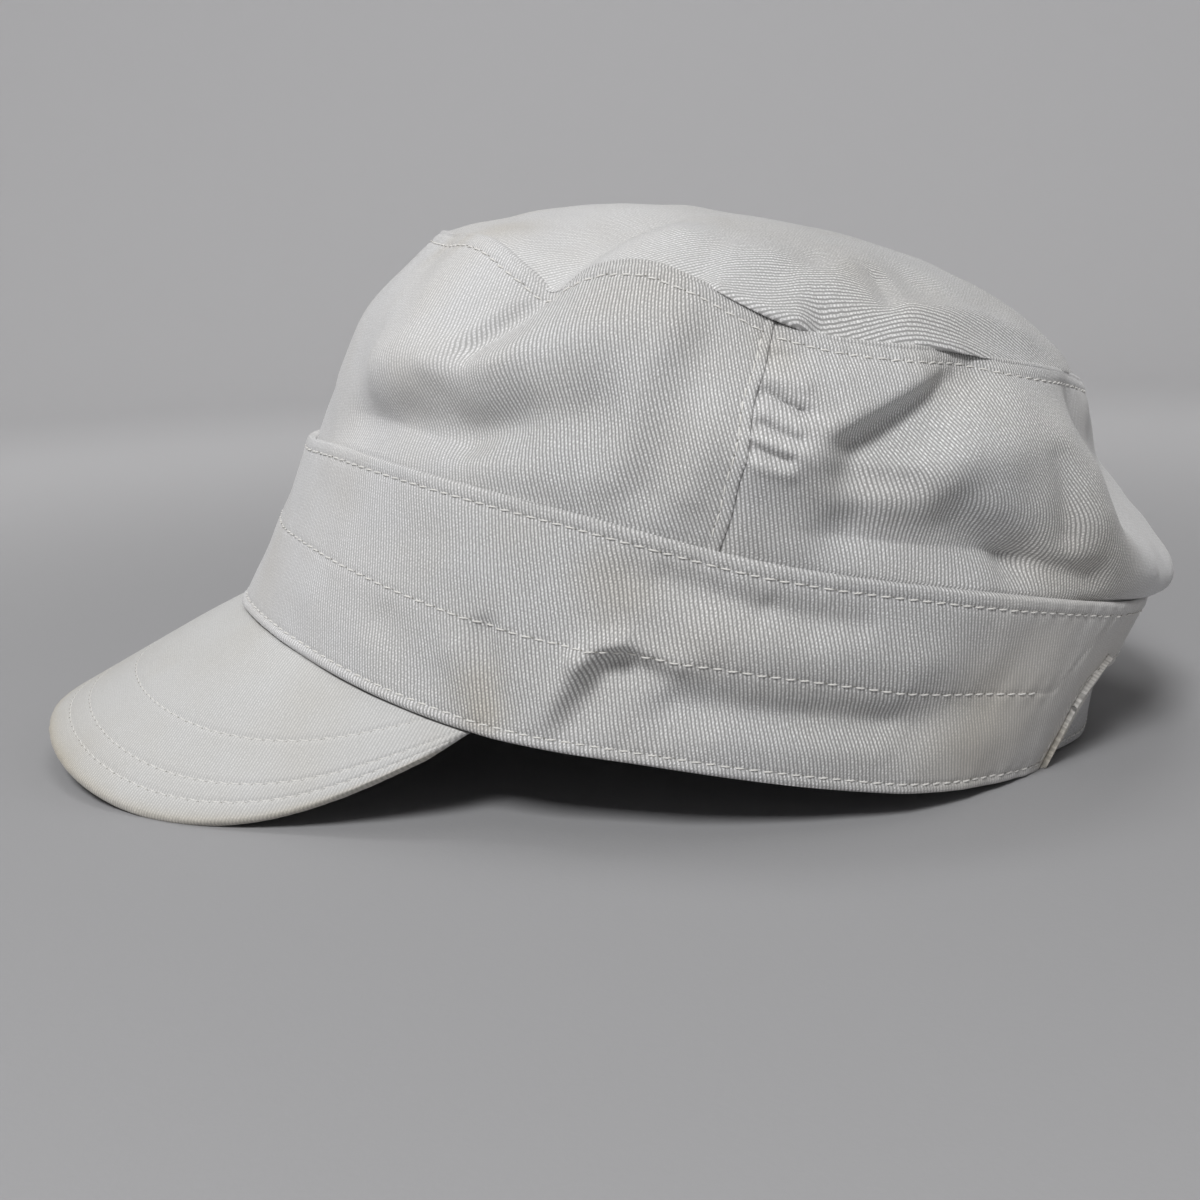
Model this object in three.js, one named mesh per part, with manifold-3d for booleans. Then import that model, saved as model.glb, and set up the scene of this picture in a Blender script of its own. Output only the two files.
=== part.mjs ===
// A white cotton twill cadet cap, lying on a surface as it rests by itself.
// Units are millimetres. The cap is drawn in its own frame first: x to the wearer's left,
// y to the back, z up from the head opening's rim. It is then tilted on to the floor, z = 0.

import * as THREE from 'three';
import { mergeVertices } from 'three/addons/utils/BufferGeometryUtils.js';
import Module from 'manifold-3d';

const wasm = await Module();
wasm.setup();

// Cloth thicknesses, and the gap left between pieces that meet
const BAND_WALL = 2.0;
const CROWN_WALL = 1.2;
const PEAK_WALL = 3.0;
const EDGE_ROUND = 0.9;
const STRAP_WALL = 2.0;
const GAP = 0.35;

// How far the cap leans back on its peak and its back rim, and how much cloth that flattens
const REST_TILT = 13.2;
const FLATTENED = 0.6;

// Three ovals carry the walls: the rim, the band's top edge and the crown's top seam.
// Like a head they are a little wider behind than in front
const RIM = { middle: 2.5, halfLength: 102.5, halfWidth: 88 };
const BAND_TOP = { middle: 12.5, halfLength: 103, halfWidth: 84 };
const TOP_SEAM = { middle: 9.5, halfLength: 78, halfWidth: 68 };
const EGG = 0.05;

// Heights round the cap, from the front (0) to the back (180), the same on both sides.
// swell is how far the crown bellies out, swellAt the share of its height where it does so
// most, and dome how square the shoulder of the top is
const ROUND = [
  { angle: 0, rim: -3.5, band: 38.5, seam: 91.5, swell: 5.5, swellAt: 0.58, dome: 2.3 },
  { angle: 30, rim: -2, band: 42.5, seam: 92, swell: 6, swellAt: 0.55, dome: 2.5 },
  { angle: 67, rim: -3.5, band: 44, seam: 94.5, swell: 6, swellAt: 0.5, dome: 2.8 },
  { angle: 90, rim: -0.5, band: 43, seam: 91.5, swell: 6, swellAt: 0.48, dome: 3 },
  { angle: 120, rim: 1, band: 44.5, seam: 89, swell: 7.5, swellAt: 0.55, dome: 3.2 },
  { angle: 150, rim: 3.85, band: 43.5, seam: 88.5, swell: 6.5, swellAt: 0.27, dome: 3 },
  { angle: 180, rim: 7.5, band: 42.5, seam: 86, swell: 12, swellAt: 0.22, dome: 3 },
];
const TOP_MIDDLE = { y: 11, z: 109.5 };

// Where the top seam sags; angles are positive on the wearer's left
const SEAM_DIPS = [
  { angle: 50, depth: 8.5, width: 10 },
  { angle: 91.5, depth: 5, width: 17 },
  { angle: -47, depth: 5, width: 12 },
  { angle: -98, depth: 3, width: 16 },
];

// Folds of the crown's side, each along a line from one place to another.
// up is the share of the crown's height; a negative rise is a valley
const CROWN_FOLDS = [
  { fromAngle: 52, fromUp: 1.0, toAngle: 46.5, toUp: 0.6, width: 7, rise: -3.5 },
  { fromAngle: 30, fromUp: 0.05, toAngle: 66, toUp: 0.38, width: 8, rise: -4 },
  { fromAngle: 33, fromUp: 0.38, toAngle: 72, toUp: 0.86, width: 8, rise: 2.2 },
  { fromAngle: 34, fromUp: 0.72, toAngle: 37, toUp: 0.42, width: 11, rise: 1.5 },
  { fromAngle: 119, fromUp: 0.97, toAngle: 99, toUp: 0.53, width: 6.5, rise: -6 },
  { fromAngle: 93, fromUp: 0.74, toAngle: 108, toUp: 0.92, width: 8, rise: 3 },
  { fromAngle: 88, fromUp: 0.45, toAngle: 126, toUp: 0.7, width: 8, rise: 3 },
  { fromAngle: 100, fromUp: 0.17, toAngle: 122, toUp: 0.08, width: 9, rise: -4 },
  { fromAngle: 133, fromUp: 0.75, toAngle: 135, toUp: 0.45, width: 9, rise: 3.5 },
  { fromAngle: 140, fromUp: 0.3, toAngle: 151, toUp: 0.2, width: 8, rise: 1.5 },
  { fromAngle: 146, fromUp: 0.85, toAngle: 146, toUp: 0.6, width: 9, rise: -3 },
  { fromAngle: -49, fromUp: 1.0, toAngle: -46, toUp: 0.5, width: 11, rise: -4 },
  { fromAngle: -58, fromUp: 0.3, toAngle: -80, toUp: 0.4, width: 10, rise: -2 },
  { fromAngle: -106, fromUp: 0.9, toAngle: -92, toUp: 0.5, width: 9, rise: -4 },
  { fromAngle: -116, fromUp: 0.35, toAngle: -96, toUp: 0.25, width: 10, rise: 2.5 },
  { fromAngle: -142, fromUp: 0.8, toAngle: -144, toUp: 0.35, width: 8, rise: -4 },
  { fromAngle: 150, fromUp: 0.6, toAngle: 210, toUp: 0.6, width: 13, rise: -7 },
];

// Folds of the band, by angle and share of its height
const BAND_FOLDS = [
  { fromAngle: 78, fromUp: 0.1, toAngle: 80.5, toUp: 0.38, width: 5, rise: -2 },
  { fromAngle: 75, fromUp: 0.1, toAngle: 76.5, toUp: 0.46, width: 5, rise: 1.3 },
  { fromAngle: 88, fromUp: 0.27, toAngle: 116, toUp: 0.29, width: 6, rise: -2.4 },
  { fromAngle: 88, fromUp: 0.62, toAngle: 112, toUp: 0.66, width: 6, rise: 1.6 },
  { fromAngle: 78, fromUp: 0.85, toAngle: 98, toUp: 0.77, width: 5, rise: -1.8 },
  { fromAngle: -72, fromUp: 0.2, toAngle: -88, toUp: 0.4, width: 7, rise: -1.6 },
  { fromAngle: -92, fromUp: 0.45, toAngle: -122, toUp: 0.4, width: 7, rise: -1.6 },
  { fromAngle: -96, fromUp: 0.7, toAngle: -116, toUp: 0.7, width: 8, rise: 1.2 },
];

// Soft humps and hollows of the top, in plan
const TOP_FOLDS = [
  { fromX: 58, fromY: 5, toX: 60, toY: 26, width: 9, rise: 3 },
  { fromX: 46, fromY: 35, toX: 56, toY: 29, width: 8, rise: -3 },
  { fromX: 45, fromY: -46, toX: 32, toY: -28, width: 12, rise: -3 },
  { fromX: -46, fromY: -42, toX: -34, toY: -28, width: 12, rise: -2.5 },
  { fromX: -52, fromY: 34, toX: -40, toY: 28, width: 11, rise: -2.5 },
];

// The side seam leans back a little on its way up
const SIDE_SEAM = { bottom: 85, top: 87.5 };
const CROWN_TUCK = 6;

// Folds start this share of the height above the band and lose this share at the top seam
const FOLD_START = 0.15;
const FOLD_LOSS = 0.6;

// The peak is one stiff sheet bent round a cylinder that slopes down to the front
const PEAK = {
  bendRadius: 94,
  slope: 41,
  length: 56.5,
  cornerAngle: 67,
  edgeSquareness: 0.6,
  edgeTuckIn: 3.3,
  flatDrop: 4,
  flatWidth: 45,
  cornerInset: 0.6,
  edgeTurn: 89,
};

// The opening at the back and the strap across it
const CUT_OUT = { halfWidth: 52, height: 19.5, corner: 9, fromMiddle: 50, depth: 100, arcSteps: 8 };
const STRAP = { lift: 2.4, height: 16, tuckedEnd: 42, bowEnd: 34, bow: 7, topBow: 0.5 };

// Twill colours, and how rough the cloth is
const CLOTH = { band: 0xd9d8d2, crown: 0xdddcd7, top: 0xdcdbd5, peak: 0xd8d7cf, strap: 0xd6d5ce };
const CLOTH_ROUGHNESS = 0.92;

// How many faces each piece is drawn with
const MESH = {
  band: { columns: 84, rows: 6 },
  crown: { columns: 42, rows: 9, firstRow: 0.05 },
  top: { columns: 60, rings: 8 },
  peak: { columns: 34, rows: 6 },
  strap: { columns: 24, rows: 1 },
};

// Small sums

const UP = new THREE.Vector3(0, 0, 1);
const radians = (degrees) => (degrees * Math.PI) / 180;
const mix = (a, b, share) => a + (b - a) * share;
const outward = (angle) => new THREE.Vector3(0, -1, 0).applyAxisAngle(UP, radians(angle));

// A value from the table above at any angle, on a smooth curve through its rows
function round(key, angle) {
  const turned = Math.abs(angle > 180 ? angle - 360 : angle);
  const last = ROUND.length - 1;
  let row = 0;
  while (row < last - 1 && ROUND[row + 1].angle < turned) row += 1;
  const here = ROUND[row];
  const next = ROUND[row + 1];
  const before = row > 0 ? ROUND[row - 1] : { ...ROUND[1], angle: -ROUND[1].angle };
  const mirrored = { ...ROUND[last - 1], angle: 360 - ROUND[last - 1].angle };
  const after = row + 2 <= last ? ROUND[row + 2] : mirrored;
  const step = next.angle - here.angle;
  const share = (turned - here.angle) / step;
  const slopeHere = ((next[key] - before[key]) / (next.angle - before.angle)) * step;
  const slopeNext = ((after[key] - here[key]) / (after.angle - here.angle)) * step;
  const s2 = share * share;
  const s3 = s2 * share;
  return (2 * s3 - 3 * s2 + 1) * here[key] + (s3 - 2 * s2 + share) * slopeHere
    + (3 * s2 - 2 * s3) * next[key] + (s3 - s2) * slopeNext;
}

// A point of an oval at an angle and a height
function onOval(oval, angle, z) {
  const a = radians(angle);
  const x = oval.halfWidth * Math.sin(a) * (1 - EGG * Math.cos(a));
  return new THREE.Vector3(x, oval.middle - oval.halfLength * Math.cos(a), z);
}

// How far a place on a cloth is raised by folds that run along lines: every fold is
// highest on its line and fades with the distance from it
function raisedBy(folds, x, y) {
  let rise = 0;
  for (const fold of folds) {
    const dx = fold.toX - fold.fromX;
    const dy = fold.toY - fold.fromY;
    const along = ((x - fold.fromX) * dx + (y - fold.fromY) * dy) / (dx * dx + dy * dy);
    const held = Math.min(1, Math.max(0, along));
    const away = Math.hypot(x - fold.fromX - held * dx, y - fold.fromY - held * dy);
    rise += fold.rise * Math.exp(-((away / fold.width) ** 2));
  }
  return rise;
}

// Folds given by angle and height, turned to millimetres along the cloth
const GIRTH_PER_DEGREE = (Math.PI * (RIM.halfWidth + RIM.halfLength)) / 360;
function unrolled(folds, height) {
  return folds.map((fold) => ({
    fromX: fold.fromAngle * GIRTH_PER_DEGREE,
    fromY: fold.fromUp * height,
    toX: fold.toAngle * GIRTH_PER_DEGREE,
    toY: fold.toUp * height,
    width: fold.width,
    rise: fold.rise,
  }));
}

const FRONT = RIM.middle - RIM.halfLength;
const BAND_HEIGHT = ROUND[3].band - ROUND[3].rim;
const CROWN_HEIGHT = ROUND[3].seam - ROUND[3].band;
const bandFolds = unrolled(BAND_FOLDS, BAND_HEIGHT);
const crownFolds = unrolled(CROWN_FOLDS, CROWN_HEIGHT);

// Folds are looked up on both sides of the back, where the angle starts again
function foldRise(folds, angle, height) {
  let rise = 0;
  for (const turned of [angle, angle - 360, angle + 360]) {
    rise += raisedBy(folds, turned * GIRTH_PER_DEGREE, height);
  }
  return rise;
}

// Surfaces, by angle and share of height

function rimPoint(angle) {
  return onOval(RIM, angle, round('rim', angle));
}

function bandSurface(angle, up) {
  const low = rimPoint(angle);
  const high = onOval(BAND_TOP, angle, round('band', angle));
  const fade = Math.sin(Math.PI * Math.min(1, Math.max(0, up)));
  const rise = foldRise(bandFolds, angle, up * BAND_HEIGHT) * fade;
  return low.lerp(high, up).addScaledVector(outward(angle), rise);
}

function topSeamPoint(angle) {
  let z = round('seam', angle);
  for (const dip of SEAM_DIPS) {
    for (const turned of [angle, angle - 360]) {
      z -= dip.depth * Math.exp(-(((turned - dip.angle) / dip.width) ** 2));
    }
  }
  return onOval(TOP_SEAM, angle, z);
}

// The crown starts inside the band, leaves it at the band's top edge and bellies out above it
function crownSurface(angle, up) {
  const inset = BAND_WALL + 2 * GAP;
  if (up <= 0) {
    const inside = bandSurface(angle, 1 + (up * CROWN_HEIGHT) / BAND_HEIGHT);
    inside.z += GAP;
    return inside.addScaledVector(outward(angle), -inset);
  }
  const low = onOval(BAND_TOP, angle, round('band', angle) + GAP).addScaledVector(outward(angle), -inset);
  const high = topSeamPoint(angle);
  const peakPower = Math.log(0.5) / Math.log(round('swellAt', angle));
  const belly = Math.sin(Math.PI * up ** peakPower) * round('swell', angle);
  const kept = Math.min(1, up / FOLD_START) * (1 - FOLD_LOSS * up ** 4);
  const rise = foldRise(crownFolds, angle, up * CROWN_HEIGHT) * kept;
  return low.lerp(high, up).addScaledVector(outward(angle), belly + rise);
}

// The top's own cloth lies on the walls' upper edge and domes up to the middle
function topSurface(angle, out) {
  const seam = topSeamPoint(angle);
  const lift = GAP + CROWN_WALL;
  const share = out ** round('dome', angle);
  const x = seam.x * out;
  const y = mix(TOP_MIDDLE.y, seam.y, out);
  const fade = 1 - out ** 6;
  const z = mix(TOP_MIDDLE.z, seam.z + lift, share) + raisedBy(TOP_FOLDS, x, y) * fade;
  return new THREE.Vector3(x, y, z);
}

// How far the bent sheet falls away from its middle line
const peakSag = (bend) => PEAK.bendRadius * (1 - Math.cos(bend));

// A place on the peak's bent sheet: across from the middle, and forward from the front rim
function peakSheet(across, forward) {
  const slope = radians(PEAK.slope);
  const bend = across / PEAK.bendRadius;
  const flatter = PEAK.flatDrop * Math.exp(-((across / PEAK.flatWidth) ** 2));
  return new THREE.Vector3(
    PEAK.bendRadius * Math.sin(bend),
    FRONT - forward * Math.cos(slope) + peakSag(bend) * Math.sin(slope),
    -forward * Math.sin(slope) - (peakSag(bend) + flatter) * Math.cos(slope),
  );
}

// Where the bent sheet meets the rim's oval
function peakSeam(angle) {
  const rim = rimPoint(angle);
  const slope = radians(PEAK.slope);
  const bend = Math.asin(rim.x / PEAK.bendRadius);
  const forward = (FRONT - rim.y + peakSag(bend) * Math.sin(slope)) / Math.cos(slope);
  return { across: PEAK.bendRadius * bend, forward };
}

// The peak's upper face, by share of its width (-1 to 1) and share of the way to its edge.
// Near the seam the sheet is drawn to the rim's own height
function peakSurface(side, out) {
  const angle = side * (PEAK.cornerAngle - PEAK.cornerInset);
  const turn = radians(side * PEAK.edgeTurn);
  const seam = peakSeam(angle);
  const corner = peakSeam(PEAK.cornerAngle);
  const tuck = PEAK.edgeTuckIn * Math.sin(2 * turn);
  const edgeAcross = corner.across * Math.sin(turn) - tuck;
  const edgeForward = mix(corner.forward, PEAK.length, Math.cos(turn) ** PEAK.edgeSquareness);
  const point = peakSheet(mix(seam.across, edgeAcross, out), mix(seam.forward, edgeForward, out));
  const underRim = rimPoint(angle).z - GAP;
  const atSeam = peakSheet(seam.across, seam.forward).z;
  point.z += (underRim - atSeam) * (1 - out) ** 2;
  return point;
}

// The strap follows the band's inner face behind its ends and bows out across the opening,
// more so at its lower edge
function strapSurface(angle, up) {
  const low = rimPoint(angle);
  const high = onOval(BAND_TOP, angle, round('band', angle));
  const share = (STRAP.lift + up * STRAP.height) / low.distanceTo(high);
  const fromBack = Math.abs(angle - 180) / STRAP.bowEnd;
  const most = mix(STRAP.bow, STRAP.topBow, up);
  const bow = fromBack < 1 ? most * (1 - fromBack ** 2) : 0;
  return low.lerp(high, share).addScaledVector(outward(angle), bow - BAND_WALL - GAP);
}

// The direction a surface faces at a place, from its neighbours across and along it
const NEAR = 1e-3;
const TURN_STEP = 0.1;
function facing(surface, u, v, stepU) {
  const stepV = v + NEAR > 1 ? -NEAR : NEAR;
  const alongU = surface(u + stepU, v).sub(surface(u - stepU, v));
  const alongV = surface(u, v + stepV).sub(surface(u, v)).multiplyScalar(Math.sign(stepV));
  return alongU.cross(alongV).normalize();
}

// Closed meshes

// Points closer than this are one
const SAME_POINT = 1e-4;

// A mesh from a list of points and triangles, with equal points merged
function closedGeometry(points, triangles) {
  const positions = new THREE.Float32BufferAttribute(points.flatMap((p) => p.toArray()), 3);
  const geometry = new THREE.BufferGeometry();
  geometry.setAttribute('position', positions);
  geometry.setIndex(triangles.flat());
  const merged = mergeVertices(geometry, SAME_POINT);
  const index = merged.getIndex().array;
  const kept = [];
  for (let i = 0; i < index.length; i += 3) {
    const [a, b, c] = [index[i], index[i + 1], index[i + 2]];
    if (a !== b && b !== c && a !== c) kept.push(a, b, c);
  }
  merged.setIndex(kept);
  return merged;
}

// A solid lofted through sections, each a closed ring of the same number of points.
// around joins the last section to the first; otherwise both ends get a flat face
function loft(sections, around) {
  const size = sections[0].length;
  const points = sections.flat();
  const triangles = [];
  const spans = around ? sections.length : sections.length - 1;
  for (let i = 0; i < spans; i += 1) {
    const next = (i + 1) % sections.length;
    for (let k = 0; k < size; k += 1) {
      const up = (k + 1) % size;
      triangles.push([i * size + k, next * size + k, next * size + up]);
      triangles.push([i * size + k, next * size + up, i * size + up]);
    }
  }
  if (!around) {
    const last = (sections.length - 1) * size;
    for (let k = 0; k < size / 2 - 1; k += 1) {
      const across = size - 1 - k;
      triangles.push([k, k + 1, across - 1], [k, across - 1, across]);
      triangles.push([last + k, last + across - 1, last + k + 1]);
      triangles.push([last + k, last + across, last + across - 1]);
    }
  }
  return closedGeometry(points, triangles);
}

// A section across a wall: up its outer face, then down its inner face
function wallSection(surface, u, shares, thickness, stepU) {
  const outer = shares.map((v) => surface(u, v));
  const inner = shares.map((v, i) => {
    const out = facing(surface, u, v, stepU);
    return outer[i].clone().addScaledVector(out, -thickness);
  });
  return [...outer, ...inner.reverse()];
}

const steps = (from, to, count) => Array.from({ length: count + 1 }, (_, i) => mix(from, to, i / count));

function solidOf(geometry) {
  const bare = geometry.clone().deleteAttribute('normal').deleteAttribute('uv');
  const merged = mergeVertices(bare, SAME_POINT / 10);
  return new wasm.Manifold(new wasm.Mesh({
    numProp: 3,
    vertProperties: new Float32Array(merged.getAttribute('position').array),
    triVerts: new Uint32Array(merged.getIndex().array),
  }));
}

function geometryOf(solid) {
  const mesh = solid.getMesh();
  const geometry = new THREE.BufferGeometry();
  geometry.setAttribute('position', new THREE.BufferAttribute(mesh.vertProperties, 3));
  geometry.setIndex(new THREE.BufferAttribute(mesh.triVerts, 1));
  return geometry;
}

// Pieces

// The band, with the opening cut through its back
function band() {
  const angles = steps(0, 360, MESH.band.columns).slice(0, -1);
  const shares = steps(0, 1, MESH.band.rows);
  const section = (angle) => wallSection(bandSurface, angle, shares, BAND_WALL, TURN_STEP);
  const ring = loft(angles.map(section), true);
  const rim = ROUND[ROUND.length - 1].rim;
  const { halfWidth, height, corner, fromMiddle, depth, arcSteps } = CUT_OUT;
  const arch = new THREE.Shape();
  arch.moveTo(-halfWidth, -height);
  arch.lineTo(halfWidth, -height);
  arch.lineTo(halfWidth, height - corner);
  arch.absarc(halfWidth - corner, height - corner, corner, 0, Math.PI / 2, false);
  arch.absarc(corner - halfWidth, height - corner, corner, Math.PI / 2, Math.PI, false);
  const shape = { depth, bevelEnabled: false, curveSegments: arcSteps };
  const block = new THREE.ExtrudeGeometry(arch, shape);
  block.rotateX(Math.PI / 2);
  block.translate(0, fromMiddle + depth, rim);
  return geometryOf(solidOf(ring).subtract(solidOf(block)));
}

// The crown's side between two seams, with its foot tucked inside the band
function crownSide(side) {
  const inset = side === 'front' ? 0 : GAP / GIRTH_PER_DEGREE;
  const foot = -CROWN_TUCK / CROWN_HEIGHT;
  const shares = [foot, 0, ...steps(MESH.crown.firstRow, 1, MESH.crown.rows - 2)];
  const seamAt = (up) => mix(SIDE_SEAM.bottom, SIDE_SEAM.top, Math.max(0, up));
  const place = side === 'front'
    ? (u, up) => u * seamAt(up)
    : (u, up) => 180 + u * (180 - seamAt(up) - inset);
  const surface = (u, up) => crownSurface(place(u, up), up);
  const section = (u) => wallSection(surface, u, shares, CROWN_WALL, NEAR);
  return loft(steps(-1, 1, MESH.crown.columns).map(section), false);
}

// The domed top, one round shell
function crownTop() {
  const angles = steps(0, 360, MESH.top.columns).slice(0, -1);
  const shares = steps(1, 0, MESH.top.rings);
  const sections = angles.map((angle) => {
    const outer = shares.map((out) => topSurface(angle, out));
    const inner = shares.map((out, i) => {
      const down = out === 0 ? UP.clone().negate() : facing(topSurface, angle, out, TURN_STEP);
      return outer[i].clone().addScaledVector(down, CROWN_WALL);
    });
    return [...outer, ...inner.reverse()];
  });
  return loft(sections, true);
}

// The stiff peak: its upper and lower faces, a rounded edge, and an end tucked under the band
function peak() {
  const shares = steps(0, 1, MESH.peak.rows);
  const sections = steps(-1, 1, MESH.peak.columns).map((side) => {
    const angle = side * (PEAK.cornerAngle - PEAK.cornerInset);
    const upper = shares.map((out) => peakSurface(side, out));
    const lower = shares.map((out, i) => {
      const down = facing(peakSurface, side, out, NEAR);
      return upper[i].clone().addScaledVector(down, PEAK_WALL);
    });
    const last = shares.length - 1;
    const toEdge = upper[last].clone().sub(upper[last - 1]).normalize();
    upper[last].addScaledVector(toEdge, -EDGE_ROUND);
    lower[last].addScaledVector(toEdge, -EDGE_ROUND);
    const edge = upper[last].clone().lerp(lower[last], 0.5).addScaledVector(toEdge, EDGE_ROUND);
    const under = wallSection(bandSurface, angle, [0, 1], BAND_WALL, TURN_STEP)[3];
    const innerTop = under.clone().add(new THREE.Vector3(0, 0, -GAP));
    const innerLow = innerTop.clone().add(new THREE.Vector3(0, 0, -PEAK_WALL));
    return [innerTop, ...upper, edge, edge.clone(), ...lower.reverse(), innerLow];
  });
  return loft(sections.map((ring) => ring.reverse()), false);
}

// The plain strap at the back
function strap() {
  const angles = steps(180 - STRAP.tuckedEnd, 180 + STRAP.tuckedEnd, MESH.strap.columns);
  const shares = steps(0, 1, MESH.strap.rows);
  const section = (angle) => wallSection(strapSurface, angle, shares, STRAP_WALL, TURN_STEP);
  return loft(angles.map(section), false);
}

// The cap on its surface

const FLOOR = { side: 600, depth: 100 };

const PIECES = [
  { name: 'peak', make: peak, colour: CLOTH.peak },
  { name: 'band', make: band, colour: CLOTH.band },
  { name: 'back_strap', make: strap, colour: CLOTH.strap },
  { name: 'crown_front', make: () => crownSide('front'), colour: CLOTH.crown },
  { name: 'crown_rear', make: () => crownSide('rear'), colour: CLOTH.crown },
  { name: 'crown_top', make: crownTop, colour: CLOTH.top },
];

const shapes = PIECES.map(({ make }) => make().rotateX(-radians(REST_TILT)));
const whole = new THREE.Box3();
for (const shape of shapes) {
  shape.computeBoundingBox();
  whole.union(shape.boundingBox);
}
const middle = whole.getCenter(new THREE.Vector3());
const floor = new THREE.BoxGeometry(FLOOR.side, FLOOR.side, FLOOR.depth);
floor.translate(0, 0, -FLOOR.depth / 2);

const group = new THREE.Group();
PIECES.forEach(({ name, colour }, i) => {
  const lying = shapes[i].translate(-middle.x, -middle.y, -whole.min.z - FLATTENED);
  const flattened = geometryOf(solidOf(lying).subtract(solidOf(floor)));
  flattened.computeVertexNormals();
  const finish = { color: colour, roughness: CLOTH_ROUGHNESS, metalness: 0 };
  const mesh = new THREE.Mesh(flattened, new THREE.MeshStandardMaterial(finish));
  mesh.name = name;
  group.add(mesh);
});

export default group;
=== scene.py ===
import logging
import math
from dataclasses import dataclass, field
from enum import Enum

import bpy
import numpy as np
from mathutils import Matrix, Vector

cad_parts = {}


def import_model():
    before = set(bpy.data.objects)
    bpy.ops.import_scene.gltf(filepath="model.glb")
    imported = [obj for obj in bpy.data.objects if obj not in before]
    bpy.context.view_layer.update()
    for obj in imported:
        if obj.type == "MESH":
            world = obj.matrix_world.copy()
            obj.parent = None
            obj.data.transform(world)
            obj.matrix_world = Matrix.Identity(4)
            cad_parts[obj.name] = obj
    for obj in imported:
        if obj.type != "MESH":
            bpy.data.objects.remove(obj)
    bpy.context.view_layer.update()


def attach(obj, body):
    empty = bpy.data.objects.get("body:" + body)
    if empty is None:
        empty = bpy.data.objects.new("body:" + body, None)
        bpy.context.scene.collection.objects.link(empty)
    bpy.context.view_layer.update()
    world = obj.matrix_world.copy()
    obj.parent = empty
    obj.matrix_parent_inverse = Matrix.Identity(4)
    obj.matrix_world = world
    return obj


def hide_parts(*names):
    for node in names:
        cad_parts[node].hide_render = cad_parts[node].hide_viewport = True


LOG = logging.getLogger("cadet_cap")

MM = 0.001
BODY = "root"
CLOTH_UV = "cloth_mm"
# This attribute carries real stains and, on the band and the crown's sides, patches of painted
# shade
STAIN_AND_SHADE = "stain_and_shade"
PRESSED = "pressed"
WELD_MM = 0.002
# How far an outer face is pressed in, as a share of half the wall, before the inner one gives way
GIVE_SHARE = 0.5
# How many rows of an outer face the inner one spans with each of its own
INNER_STEP = 2

Array = np.ndarray
Line = tuple[Array, Array]
Fields = dict[str, Array]
Faces = list[list[int]]
Place = tuple[float, float, float]
Tree = bpy.types.NodeTree
Socket = bpy.types.NodeSocket
Piece = bpy.types.Object
Finish = bpy.types.Material | tuple[bpy.types.Material, ...]


class Seam(Enum):
    """The stitched rows of the cap, each made as one joined mesh."""

    BAND_TOP = "band_top_stitching"
    BAND_MIDDLE = "band_middle_stitching"
    BAND_HEM = "band_hem_stitching"
    CROWN_TOP_FRONT = "crown_top_seam_stitching_front"
    CROWN_TOP_REAR = "crown_top_seam_stitching_rear"
    SIDES = "side_seam_stitching"
    PEAK = "peak_stitching"
    STRAP = "strap_stitching"


@dataclass(frozen=True)
class Oval:
    """An oval round the cap, in mm: its centre towards the back and its half sizes."""

    middle: float
    half_length: float
    half_width: float


@dataclass(frozen=True)
class Station:
    """Heights at one angle round the cap, in mm above the rim's plane.

    swell is how far the crown bellies out, swell_at the share of its height where it does so
    most, and dome how square the shoulder of the top is.
    """

    angle: float
    rim: float
    band: float
    seam: float
    swell: float
    swell_at: float
    dome: float


@dataclass(frozen=True)
class Dip:
    """A sag of the top seam: its angle, depth in mm and half width in degrees."""

    angle: float
    depth: float
    width: float


@dataclass(frozen=True)
class Fold:
    """A fold along a line between two places; a negative rise is a valley.

    On the walls a place is an angle and a share of the height, on the top it is x and y in mm.
    """

    from_x: float
    from_y: float
    to_x: float
    to_y: float
    width: float
    rise: float


@dataclass(frozen=True)
class Spot:
    """A soft mark, used for real stains and for patches of painted shade: its place, its half width
    in mm and how strong it is from 0 to 1.
    """

    x: float
    y: float
    size: float
    strength: float


Folds = tuple[Fold, ...]
Spots = tuple[Spot, ...]


# Small sums


def smooth(value: Array) -> Array:
    """Eases a share from 0 to 1, held at both ends."""
    held = np.clip(value, 0.0, 1.0)
    return held * held * (3.0 - 2.0 * held)


def ridge(distance: Array, width: float) -> Array:
    """A rounded ridge of height 1 at distance 0, fading over width."""
    return np.exp(-((distance / width) ** 2))


def pillow(distance: Array, width: float, power: float) -> Array:
    """A pillow of height 1 that fills the width from distance 0."""
    return np.sin(math.pi * np.clip(distance / width, 0, 1)) ** power


def pucker(along: Array, length: float, swing: float) -> Array:
    """The beat of puckers along a row of stitching, stronger and weaker as it goes."""
    return np.sin(2 * math.pi * along / length) * (0.6 + 0.4 * np.sin(along / swing))


def from_front(angle: Array) -> Array:
    """How many degrees from the front each angle is, to either side."""
    return np.abs((angle + 180) % 360 - 180)


def soiled_and_shaded(spots: Spots, x: Array, y: Array, x_size: float = 1.0, y_size: float = 1.0) -> Array:
    """How strongly stains and patches of painted shade mark each place of a cloth.

    Args:
        spots: The stains and patches of painted shade.
        x: Places across the cloth.
        y: Places up the cloth.
        x_size: The millimetres in one unit of x.
        y_size: The millimetres in one unit of y.

    Returns:
        Shares, 0 where the cloth is unmarked.
    """
    total = np.zeros(np.broadcast(x, y).shape)
    for spot in spots:
        away = np.hypot((x - spot.x) * x_size, (y - spot.y) * y_size)
        total += spot.strength * ridge(away, spot.size)
    return total


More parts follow.
